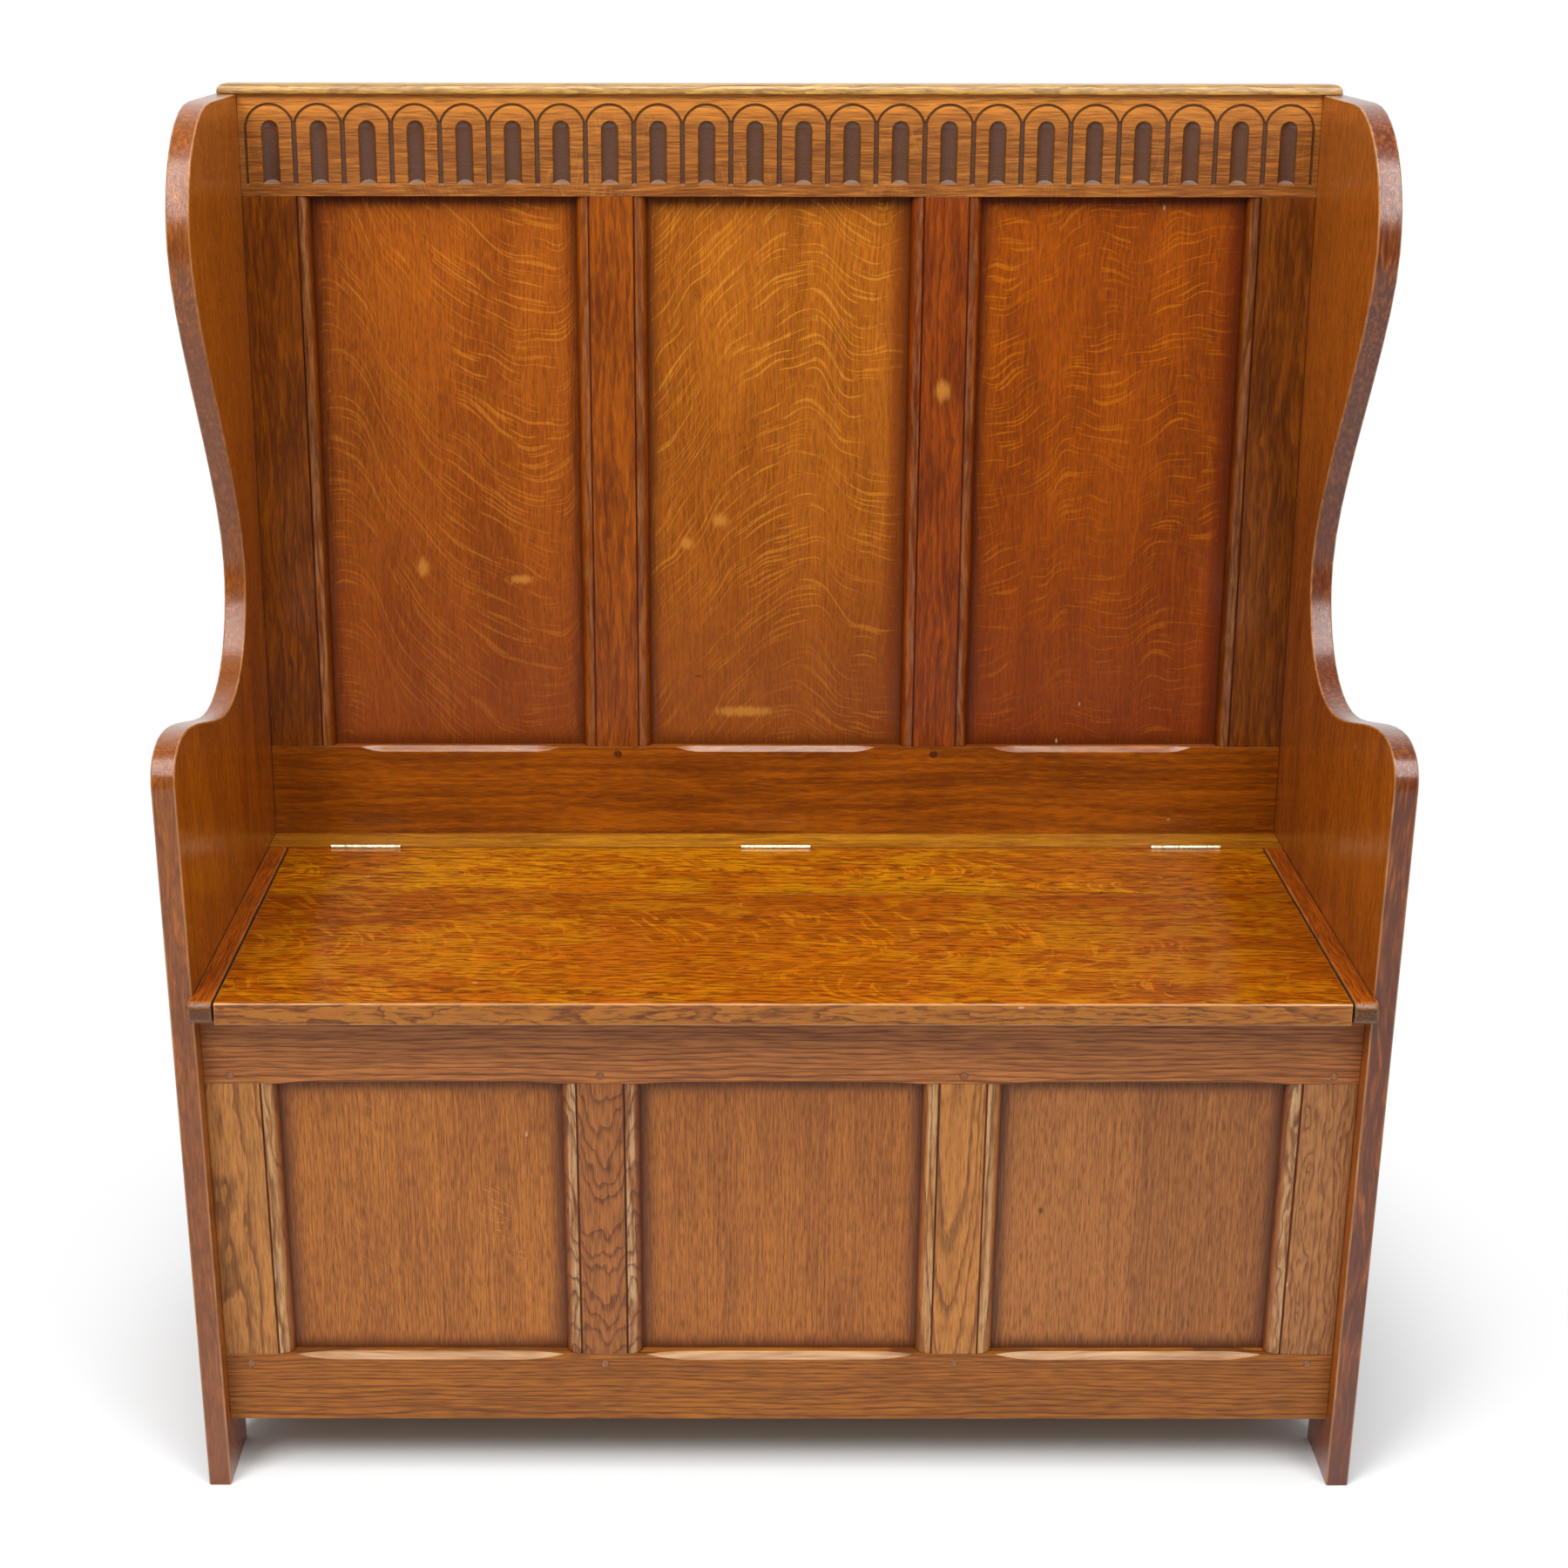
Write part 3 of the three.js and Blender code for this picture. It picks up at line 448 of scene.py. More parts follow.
def spot(tree, where, place_mm, size_mm, torn):
    """1 in a soft oval round a place on the board, its edge torn along the grain."""
    across, along = (place * MM for place in place_mm)
    width, height = (size * MM for size in size_mm)
    local = add(tree, "Mapping", {
        "Vector": where, "Location": (across, 0, along), "Scale": (width, 1, height),
    }, vector_type="TEXTURE")
    far = add(tree, "VectorMath", {0: local}, operation="LENGTH")
    rough = add(tree, "Math", {0: torn, 1: 1.2, 2: far.outputs["Value"]}, operation="MULTIPLY_ADD")
    return add(tree, "MapRange", {"Value": rough, "From Min": 1.6, "From Max": 0.9}, **SMOOTH)


def nicks(tree, board, where):
    """1 on a few small chips along the grain, about one to a palm's breadth."""
    spread = add(tree, "Mapping", {
        "Vector": where, "Scale": (1 / (45 * MM), 1 / (45 * MM), 1 / (110 * MM)),
        "Location": (board.seed, board.seed, 0),
    })
    cells = add(tree, "TexVoronoi", {"Vector": spread, "Scale": 1})
    near = add(tree, "MapRange", {
        "Value": cells.outputs["Distance"], "From Min": 0.03, "From Max": 0.015,
    })
    chosen = add(tree, "Math", {0: cells.outputs["Color"], 1: 0.6}, operation="GREATER_THAN")
    return add(tree, "Math", {0: near, 1: chosen}, operation="MULTIPLY")


def carved_cuts(tree, board, depth, clouds):
    """1 in the incised lines, dark with stain and painted shade, and 1 in the flutes where old
    dirt lies, thinner in places.
    """
    face = -board.half.y
    # Nothing deeper than the flutes was cut
    deepest = (board.hollow_mm + 3) * MM + face
    carved = add(tree, "Math", {0: depth, 1: deepest}, operation="LESS_THAN")
    line = add(tree, "MapRange", {
        "Value": depth, "From Min": 0.15 * MM + face, "From Max": 0.5 * MM + face, "To Max": carved,
    })
    hollow = add(tree, "MapRange", {
        "Value": depth, "From Min": (board.hollow_mm - 0.55) * MM + face,
        "From Max": board.hollow_mm * MM + face, "To Max": carved,
    })
    grime = add(
        tree, "Math", {0: clouds, 1: -0.35, 2: hollow}, operation="MULTIPLY_ADD", use_clamp=True
    )
    return line, grime


def ledge_dust_and_light(tree, board, streaks):
    """1 in streaks on upward slopes, such as stopped chamfers: dust and painted light."""
    sloped = add(tree, "Math", {
        0: facing(tree, -board.across, 0.2, 0.35, both_ways=False),
        1: facing(tree, board.across, 0.97, 0.92),
    }, operation="MULTIPLY")
    dust_and_light = add(tree, "Math", {0: streaks, 1: 2.6, 2: -0.4}, operation="MULTIPLY_ADD")
    return add(tree, "Math", {0: sloped, 1: dust_and_light}, operation="MULTIPLY")


def worn_arrises(tree, board, streaks):
    """1 in streaks on the rounded edges, where hands have rubbed the stain away."""
    worn = slanting(tree, (board.inward,) if board.wear_sides_only else board.lie)
    if board.wear_sides_only:
        side = facing(tree, board.inward, 0.04, 0.15)
        worn = add(tree, "Math", {0: worn, 1: side}, operation="MULTIPLY")
    return add(tree, "Math", {0: worn, 1: streaks}, operation="MULTIPLY")


def varnished_oak(board):
    """Oak, sawn and planed, then stained brown and varnished.

    The stain sits dark in the pores and the spring growth, the rays stay pale where the saw
    ran along them, and the varnish lays a soft skin over it all.
    """
    finish = bpy.context.scene.oak_finish
    material = bpy.data.materials.new(f"varnished_oak_{board.node}")
    tree = empty_tree(material)
    where = add(tree, "Mapping", {
        "Vector": add(tree, "TexCoord").outputs["Object"], "Location": board.centre,
        "Rotation": board.basis.to_euler(),
    }, vector_type="TEXTURE")
    parts = add(tree, "SeparateXYZ", {"Vector": where})
    # A noise strays about a sixth of its range, so each length is taken six times
    drift = drawn_out(tree, board, where, board.drift_mm, 3)
    across, behind = (6 * stray * MM for stray in board.wander_mm)
    wavy = add(tree, "VectorMath", {
        0: drift.outputs["Color"], 1: (across, behind, 0), 2: where,
    }, operation="MULTIPLY_ADD")
    ruffle = 6 * board.ruffle_mm * MM
    ruffled = add(tree, "VectorMath", {
        0: drawn_out(tree, board, where, (8, 22), 29).outputs["Color"], 1: (ruffle, ruffle, 0),
        2: wavy,
    }, operation="MULTIPLY_ADD")
    # Real pores are 0.3 mm across, too fine to show here, so they are drawn at least three
    # times as wide
    fibre = drawn_out(tree, board, where, board.pore_mm, 11, 1)
    pores = add(tree, "MapRange", {"Value": fibre, "From Min": 0.53, "From Max": 0.63}, **SMOOTH)
    bright = add(tree, "MapRange", {"Value": fibre, "From Min": 0.47, "From Max": 0.36}, **SMOOTH)
    clouds = add(tree, "MapRange", {
        "Value": drawn_out(tree, board, wavy, board.cloud_mm, 23), "From Min": 0.35,
        "From Max": 0.68,
    }, **SMOOTH)
    streaks = drawn_out(tree, board, wavy, board.streak_mm, 41)
    streaked = add(tree, "MapRange", {
        "Value": streaks, "From Min": 0.48, "From Max": 0.64,
    }, **SMOOTH)
    darker = add(tree, "MapRange", {"Value": streaks, "From Min": 0.5, "From Max": 0.36}, **SMOOTH)
    rings = growth_rings(tree, board, ruffled)
    broken = add(tree, "Math", {0: fibre, 1: 0.9, 2: 0.35}, operation="MULTIPLY_ADD")
    spring = add(tree, "Math", {0: rings, 1: broken}, operation="MULTIPLY")

    deep = board.tone(board.deep)
    layers = [
        (clouds, board.tone(board.dark), board.clouds),
        (streaked, board.tone(board.pale), board.streaks),
        (darker, board.tone(board.dark), board.streaks),
        (bright, board.tone(board.pale), board.pores * 0.6),
    ]
    if board.figure:
        figure = ray_figure(tree, board, where)
        layers.append((figure, board.tone(board.figure_tone), board.figure))
    if board.flecks:
        flecks = ray_flecks(tree, board, where)
        layers.append((flecks, board.tone(board.fleck_tone), board.flecks))
    # Bands and stretches paint boards darker or paler, in places as painted light and shade
    ways = (board.bands, board.half.x, "X"), (board.stretches, board.half.z, "Z")
    for points, half, way in ways:
        if points:
            dark, pale = banded(tree, half, parts.outputs[way], points)
            layers.append((dark, board.tone(board.dusk), 1))
            if board.crest:
                # On a moulding's crest the pale is dust and painted highlight
                scuffs = add(tree, "Math", {0: streaks, 1: 5, 2: -1.8}, operation="MULTIPLY_ADD")
                dust_and_highlight = add(tree, "Math", {0: pale, 1: scuffs}, operation="MULTIPLY")
                layers.append((dust_and_highlight, opaque(board.crest), 1))
            else:
                layers.append((pale, board.tone(board.pale), 1))
    if board.rim:
        # The sawn edges took the stain duller than the planed face, and unevenly
        patchy = add(tree, "Math", {0: streaks, 1: -2.2, 2: 2}, operation="MULTIPLY_ADD")
        sawn = add(tree, "Math", {
            0: facing(tree, board.inward, 0.92, 0.6), 1: patchy,
        }, operation="MULTIPLY")
        layers.append((sawn, opaque(board.rim), 0.95))
    if board.under:
        bare = facing(tree, board.inward, 0.9, 0.95, both_ways=False)
        layers.append((bare, opaque(board.under), 0.85))
    layers += [(spring, deep, board.rings), (pores, deep, board.pores)]
    marks = (
        (board.smudges, opaque(finish.smudge), 0.8), (board.knots, deep, 0.9),
        (board.stains, deep, 0.5),
    )
    for spots, tone, strength in marks:
        for place, size in spots:
            layers.append((spot(tree, where, place, size, streaks), tone, strength))
    # Dark sight edges: stain and wax, and painted shade where the frame meets the panel
    if board.edge_stain_and_shade:
        border = stain_and_shade_border(tree, board, where, streaks)
        layers.append((border, deep, board.edge_stain_and_shade))
    layers.append((nicks(tree, board, where), opaque(finish.nick), 0.5))
    if board.hollow_mm:
        line, grime = carved_cuts(tree, board, parts.outputs["Y"], clouds)
        layers += [(line, opaque(finish.cut_line), 0.75), (grime, opaque(finish.flute), 0.95)]
    # Pale upward slopes: dust and painted light
    if board.ledge:
        layers.append((ledge_dust_and_light(tree, board, streaks), opaque(finish.ledge), board.ledge))
    if board.wear:
        layers.append((worn_arrises(tree, board, streaks), opaque(finish.arris), board.wear))

    shade = opaque(board.ground)
    for share, tone, strength in layers:
        factor = add(tree, "Math", {0: share, 1: strength}, operation="MULTIPLY", use_clamp=True)
        shade = add(tree, "Mix", {"Factor": factor, "A": shade, "B": tone}, data_type="RGBA")

    smooth, open_grain = board.roughness
    gloss = add(tree, "MapRange", {
        "Value": fibre, "From Min": 0.4, "From Max": 0.7, "To Min": smooth, "To Max": open_grain,
    })
    relief = add(tree, "Bump", {
        "Height": pores, "Strength": 0.3, "Distance": 0.06 * MM,
    }, invert=True)
    shader = add(tree, "BsdfPrincipled", {
        "Base Color": shade, "Roughness": gloss, "Normal": relief, "IOR": 1.46,
        "Coat Weight": board.coat, "Coat Roughness": finish.sheen_roughness,
    })
    add(tree, "OutputMaterial", {"Surface": shader})
    return material


def rubbed_brass():
    """Cast brass that use has rubbed pale and soft, with brown tarnish left in patches."""
    metal = bpy.context.scene.hinge_metal
    material = bpy.data.materials.new("rubbed_cast_brass")
    tree = empty_tree(material)
    place = add(tree, "TexCoord").outputs["Object"]
    # Patches about 4 mm across
    blotch = add(tree, "TexNoise", {"Vector": place, "Scale": 1 / (4 * MM), "Detail": 3})
    tarnished = add(tree, "MapRange", {
        "Value": blotch, "From Min": 0.45, "From Max": 0.7, "To Max": 0.6,
    }, **SMOOTH)
    shade = add(tree, "Mix", {
        "Factor": tarnished, "A": opaque(metal.brass), "B": opaque(metal.tarnish),
    }, data_type="RGBA")
    rough = add(tree, "MapRange", {
        "Value": blotch, "From Min": 0.4, "From Max": 0.7, "To Min": 0.42, "To Max": 0.55,
    })
    shader = add(tree, "BsdfPrincipled", {"Base Color": shade, "Roughness": rough, "Metallic": 1})
    add(tree, "OutputMaterial", {"Surface": shader})
    return material


def give(obj, material):
    """Puts one material on all of an object."""
    obj.data.materials.clear()
    obj.data.materials.append(material)


def ease_edges(obj, radius):
    """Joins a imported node's faces and rounds its sharp edges a little, all by modifiers."""
    mesh = obj.data
    if "custom_normal" in mesh.attributes:
        mesh.attributes.remove(mesh.attributes["custom_normal"])
    mesh.shade_smooth()
    joined = obj.modifiers.new("joined_faces", "WELD")
    joined.merge_threshold = 0.002 * MM
    flat = obj.modifiers.new("flat_faces", "DECIMATE")
    flat.decimate_type = "DISSOLVE"
    flat.angle_limit = math.radians(0.3)
    eased = obj.modifiers.new("eased_edges", "BEVEL")
    eased.width = radius
    eased.segments = 2
    eased.limit_method = "ANGLE"
    eased.angle_limit = math.radians(32)
    even = obj.modifiers.new("even_shading", "WEIGHTED_NORMAL")
    even.weight = 60


def dress(*boards):
    """Gives each board its own oak and eases its edges."""
    for board in boards:
        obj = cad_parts[board.node]
        give(obj, varnished_oak(board))
        ease_edges(obj, bpy.context.scene.oak_finish.edge_radius)


class SETTLE_OT_ends(bpy.types.Operator):
    """Finish the two end boards"""

    bl_idname = "settle.ends"
    bl_label = "End boards"

    def execute(self, context):
        tones = context.scene.oak_tones
        # Stretches darken the ends at the feet, painted shade under the seat, and make them paler
        # up the wings
        cut = dict(
            rings=0.45, heart_mm=(500, 30), pores=0.55, streak_mm=(3, 50),
            stretches=((0, -0.7), (60, -0.5), (140, 0), (760, 0), (930, 0.4), (1174, 0.5)),
            clouds=0.8, cloud_mm=(34, 180), wear=0.64, wear_sides_only=True, coat=0.3,
        )
        # The inner faces are paler towards their front edges and darker into the back corner:
        # painted light and shade
        fading = ((0, 0.1), (90, 0.15), (300, -0.1), (449, -0.35))
        width = fading[-1][0]
        mirrored = tuple((width - place, value) for place, value in reversed(fading))
        dress(
            Board("end_left", LEFT_END, 1, rim=tones.end_edge_left, bands=fading, **cut),
            Board("end_right", RIGHT_END, 2, rim=tones.end_edge_right, bands=mirrored, **cut),
        )
        return {"FINISHED"}


# How the mouldings are painted, in millimetres from the quirk to the panel: a dark line in
# the quirk, stain and painted shade; a pale crest, dust and painted highlight; and a dark
# foot, painted shade where the round falls to the panel
FRONT_MOULDING = (
    (-0.6, 0), (0.3, -0.8), (1.4, -0.5), (2.4, 0.6), (7.5, 0.6), (9.5, 0), (12.4, -0.6), (14, -0.85)
)
BACK_MOULDING = (
    (-0.6, 0), (0.3, -0.8), (1.1, -0.3), (1.8, 0.6), (7.4, 0.6), (9, 0), (11.2, -0.5), (12.5, -0.85)
)


def mouldings(profile, width_mm, left=True, right=True):
    """Bands for an upright this wide with a moulding on its left side, its right or both."""
    depth = profile[-1][0]
    # A plain edge only gets painted shade where it meets the next part
    points = [(0, -0.5), (5, 0)]
    if left:
        points = [(depth - place, value) for place, value in reversed(profile)]
    if right:
        points += [(width_mm - depth + place, value) for place, value in profile]
    else:
        points += [(width_mm - 5, 0), (width_mm, -0.5)]
    return tuple(points)


class SETTLE_OT_front(bpy.types.Operator):
    """Finish the rails, stiles, muntins and panels of the front"""

    bl_idname = "settle.front"
    bl_label = "Front frame and panels"

    def execute(self, context):
        finish = context.scene.oak_finish
        # These boards are matt, and their spring lines are thin and sharp
        matt = dict(
            ring_line=((0, 0), (0.07, 1), (0.22, 0.7), (0.42, 0.1), (0.95, 0), (1, 0)),
            roughness=(0.55, 0.7),
        )
        rail = matt | dict(
            rings=0.9, heart_mm=(70, 25), ring_mm=4.8, clouds=0.5, cloud_mm=(20, 160),
            wander_mm=(2, 5), drift_mm=(40, 200), ruffle_mm=0.3, pore_mm=(1.3, 26),
        )
        upright = matt | dict(rings=0.85, pores=0.4, pore_mm=(1.2, 16), crest=finish.front_crest)
        panel = matt | dict(
            ring_mm=3.6, heart_mm=(500, 60), wander_mm=(2, 2), ruffle_mm=0.3, streak_mm=(1.4, 60),
            streaks=0.35, pores=0.5, edge_stain_and_shade=0.95, edge_stain_and_shade_mm=17, cloud_mm=(28, 200),
            clouds=0.5,
        )
        dress(
            Board("front_top_rail", RAIL, 3, **rail),
            # Its ledge paints its upward chamfers pale: dust and painted light
            Board("front_bottom_rail", RAIL, 4, ledge=0.6, **rail),
            Board(
                "front_stile_left", UPRIGHT, 5, heart_mm=(-6, 22), lean=(0, 0.04), ring_mm=9,
                wander_mm=(4, 4), drift_mm=(24, 80), ruffle_mm=0.4,
                bands=mouldings(FRONT_MOULDING, 60.2, left=False), **upright,
            ),
            Board(
                "front_muntin_left", UPRIGHT, 6, heart_mm=(8, 44), lean=(0.02, -0.14), ring_mm=3.4,
                wander_mm=(2, 1.4), drift_mm=(22, 50), ruffle_mm=0.6,
                bands=mouldings(FRONT_MOULDING, 67), **upright,
            ),
            Board(
                "front_muntin_right", UPRIGHT, 7, heart_mm=(2, 22), lean=(0, -0.05), ring_mm=5,
                wander_mm=(2, 3), ruffle_mm=0.3, bands=mouldings(FRONT_MOULDING, 67), **upright,
            ),
            Board(
                "front_stile_right", UPRIGHT, 8, heart_mm=(4, 14), lean=(0, 0.03), ring_mm=5.5,
                wander_mm=(3, 6), drift_mm=(16, 60), ruffle_mm=0.5,
                bands=mouldings(FRONT_MOULDING, 60.2, right=False), **upright,
            ),
            Board(
                "front_panel_left", UPRIGHT, 9, flecks=0.4, fleck_mm=(1.8, 10), fleck_cover=0.2,
                sweep=((0, 120), (0.35, 20), (1, -60)), **panel,
            ),
            Board("front_panel_centre", UPRIGHT, 10, **panel),
            Board(
                "front_panel_right", UPRIGHT, 11,
                bands=((0, 0.25), (121, 0.25), (125, -0.1), (254, -0.1)),
                knots=(((-82, 5), (3, 4)),), **panel,
            ),
        )
        return {"FINISHED"}


class SETTLE_OT_back(bpy.types.Operator):
    """Finish the rails, stiles, muntins and panels of the back"""

    bl_idname = "settle.back"
    bl_label = "Back frame and panels"

    def execute(self, context):
        finish = context.scene.oak_finish
        upright = dict(
            rings=0.6, ring_mm=6, heart_mm=(60, 60), pores=0.5, clouds=0.9, cloud_mm=(16, 90),
            streak_mm=(3, 34), crest=finish.back_crest, coat=0.2,
        )
        golden = upright | dict(crest=finish.golden_crest)
        # Stretches darken the panels towards the bottom: painted shade
        panel = dict(
            rings=0.28, heart_mm=(600, 30), pore_mm=(1.2, 12), pores=0.35, clouds=0.6,
            cloud_mm=(50, 160), streak_mm=(2, 80), fleck_mm=(2.8, 50), flecks=0.55,
            fleck_cover=0.85, edge_stain_and_shade=0.95, edge_stain_and_shade_mm=16, roughness=(0.2, 0.28),
            stretches=((0, -0.55), (80, -0.42), (260, -0.1), (400, 0), (541, 0)),
        )
        # The sweeps of the flecks: a fan with its valley at the right, an arch, a slow wave
        fan = ((0, -45), (0.05, 0), (0.3, -85), (0.5, -140), (0.75, -184), (0.88, -190), (1, -160))
        arch = ((0, 0), (0.2, 62), (0.4, 120), (0.55, 143), (0.62, 145), (0.78, 113), (1, 107))
        wave = ((0, 0), (0.3, 23), (0.4, 46), (0.6, 44), (0.75, 59), (1, 60))
        shaded_side = ((0, 0), (225, 0), (238, -0.5), (255, -0.7))
        dress(
            Board(
                "back_stile_left", RAKED_UPRIGHT, 12,
                bands=mouldings(BACK_MOULDING, 61.7, left=False),
                stains=(((-6, 200), (13, 60)), ((12, -190), (9, 70))), **golden,
            ),
            Board(
                "back_stile_right", RAKED_UPRIGHT, 13,
                bands=mouldings(BACK_MOULDING, 61.7, right=False), **upright,
            ),
            Board(
                "back_muntin_left", RAKED_UPRIGHT, 14, bands=mouldings(BACK_MOULDING, 65), **upright
            ),
            Board(
                "back_muntin_right", RAKED_UPRIGHT, 15, bands=mouldings(BACK_MOULDING, 65),
                smudges=(((0, 84), (9, 13)),), **upright,
            ),
            Board(
                "back_bottom_rail", RAKED_RAIL, 16, rings=0.5, ring_mm=7, heart_mm=(30, 20),
                wander_mm=(3, 6), clouds=0.9, cloud_mm=(20, 180), ledge=0.15,
            ),
            Board(
                "back_panel_left", RAKED_UPRIGHT, 17, sweep=fan,
                smudges=(((-31, -86), (9, 12)), ((63, -97), (16, 6))),
                stains=(((-102, 213), (4, 20)),), **panel,
            ),
            Board(
                "back_panel_centre", RAKED_UPRIGHT, 18, sweep=arch, bands=shaded_side,
                smudges=(((-54, -40), (10, 9)), ((-85, -62), (8, 8)), ((-30, -227), (40, 7))),
                knots=(((-75, -192), (4, 2)),), **panel,
            ),
            Board("back_panel_right", RAKED_UPRIGHT, 19, sweep=wave, bands=shaded_side, **panel),
        )
        return {"FINISHED"}


class SETTLE_OT_top(bpy.types.Operator):
    """Finish the carved rail and the cap over it"""

    bl_idname = "settle.top"
    bl_label = "Carved rail and cap"

    def execute(self, context):
        dress(
            # Its bands paint the strip under the cap pale: painted light against the cap's shadow.
            # The strong pale tone serves these bands and its pale streaks, and ledge paints the
            # scooped flute feet with painted light
            Board(
                "carved_rail", RAKED_RAIL, 20, rings=0.3, ring_mm=2.6, pore_mm=(0.9, 24),
                flecks=0.3, pale=(2.5, 2.8, 2.5),
                bands=((0, 1), (9, 1), (19, 0.4), (40, 0), (91, 0)), hollow_mm=2, ledge=0.1,
                coat=0.2,
            ),
            Board(
                "cap_rail", SEAT, 21, rings=0.8, ring_mm=4, wander_mm=(5, 5), clouds=0.5,
                cloud_mm=(12, 60), streaks=0.3, coat=0.4, roughness=(0.32, 0.45),
            ),
        )
        return {"FINISHED"}


class SETTLE_OT_seat(bpy.types.Operator):
    """Finish the lid, its side strips and the hinge rail"""

    bl_idname = "settle.seat"
    bl_label = "Seat"

    def execute(self, context):
        tones = context.scene.oak_tones
        lid = dict(
            rings=0.9, ring_line=((0, 0), (0.06, 1), (0.18, 0.7), (0.5, 0.1), (0.95, 0), (1, 0)),
            ring_mm=5, wander_mm=(4, 2), drift_mm=(40, 130), lean=(0.05, 0), clouds=0.65,
            cloud_mm=(30, 120), streak_mm=(2.2, 40), streaks=0.3, figure=0.6, flecks=0.7,
            fleck_mm=(6, 30), fleck_cover=0.6,
            sweep=((0, 0), (0.3, 50), (0.55, 70), (0.8, 20), (1, 60)), pores=0.6, pore_mm=(2, 16),
            roughness=(0.16, 0.24), wear=0.96, under=tones.lid_under,
        )
        strip = dict(
            ground=tones.strip, rim=tones.strip_nose, clouds=0.8, cloud_mm=(10, 70),
            streak_mm=(1.6, 50), streaks=0.45, rings=0.7, wear=0.24, coat=0.1, roughness=(0.3, 0.4),
        )
        dress(
            Board(
                "lid_board_front", SEAT, 22, heart_mm=(121, 8), rim=tones.lid_edge,
                bands=((0, -0.35), (14, -0.2), (60, 0), (200, 0.15), (239, 0.15)),
                stretches=(
                    (0, -0.25), (90, -0.1), (300, 0.1), (620, 0.1), (800, -0.15), (939, -0.3)
                ),
                **lid,
            ),
            Board(
                "lid_board_rear", SEAT, 23, heart_mm=(20, 26),
                bands=((0, 0.1), (60, 0.1), (106, -0.05), (119.6, -0.35)),
                stretches=((0, -0.1), (300, 0.05), (939, -0.15)), **lid,
            ),
            Board("side_strip_left", STRIP, 24, **strip),
            Board("side_strip_right", STRIP, 25, **strip),
            Board(
                # Its bands paint its long edges dark: painted shadow where it meets the back rail
                # and the lid. Its stretches make it darker towards its ends
                "hinge_rail", SEAT, 26, bands=((0, -0.6), (6, 0), (32, 0), (39.3, -0.7)),
                stretches=((0, -0.45), (160, -0.15), (330, 0), (780, 0), (939, -0.3)), rings=0.8,
                clouds=0.95, cloud_mm=(14, 110), streak_mm=(2.4, 60), streaks=0.45, coat=0.1,
            ),
        )
        return {"FINISHED"}


class SETTLE_OT_pegs(bpy.types.Operator):
    """Finish the pegs of both frames"""

    bl_idname = "settle.pegs"
    bl_label = "Pegs"

    def execute(self, context):
        tones = context.scene.oak_tones
        for seed, node in enumerate(sorted(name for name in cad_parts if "_peg_" in name)):
            tone = tones.back_peg if node.startswith("back") else tones.front_peg
            dress(Board(node, UPRIGHT, 40 + seed, tone, pore_mm=(1, 1)))
        return {"FINISHED"}


class SETTLE_OT_inside(bpy.types.Operator):
    """Finish the storage box's boards and the lid's battens"""

    bl_idname = "settle.inside"
    bl_label = "Storage box"

    def execute(self, context):
        tone = context.scene.oak_tones.inside
        # These boards were never varnished, so they stay pale and matt
        bare = dict(roughness=(0.7, 0.85), rings=0.5)
        pieces = (
            ("box_back", RAIL), ("floor_board_1", SEAT), ("floor_board_2", SEAT),
            ("floor_board_3", SEAT), ("floor_bearer_front", SEAT), ("floor_bearer_rear", SEAT),
            ("lid_batten_left", STRIP), ("lid_batten_right", STRIP),
        )
        for seed, (node, lie) in enumerate(pieces, 60):
            dress(Board(node, lie, seed, tone, **bare))
        return {"FINISHED"}


def screw(name, place, outward, body, material):
    """A slotted countersunk screw head let into a hinge leaf, facing outward."""
    metal = bpy.context.scene.hinge_metal
    radius, half_slot = metal.screw_head / 2, metal.screw_slot / 2
    start = math.asin(half_slot / radius)
    mesh = bpy.data.meshes.new(name)
    shape = bmesh.new()
    # The two halves either side of the slot, each a closed block with a rounded outer side
    for side in (1, -1):
        rim = [start + (math.pi - 2 * start) * i / 12 for i in range(13)]
        outline = [(radius * math.cos(a), side * radius * math.sin(a)) for a in rim]
        top = [shape.verts.new((x, y, metal.screw_proud)) for x, y in outline]
        bottom = [shape.verts.new((x, y, -metal.screw_sunk)) for x, y in outline]
        if side < 0:
            top.reverse()
            bottom.reverse()
        shape.faces.new(top)
        shape.faces.new(list(reversed(bottom)))
        for i in range(len(top)):
            j = (i + 1) % len(top)
            shape.faces.new((top[j], top[i], bottom[i], bottom[j]))
    bmesh.ops.recalc_face_normals(shape, faces=shape.faces)
    shape.to_mesh(mesh)
    shape.free()
    obj = bpy.data.objects.new(name, mesh)
    bpy.context.scene.collection.objects.link(obj)
    turn = outward.to_track_quat("Z", "X").to_matrix()
    mesh.transform(Matrix.Translation(place) @ turn.to_4x4())
    give(obj, material)
    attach(obj, body)


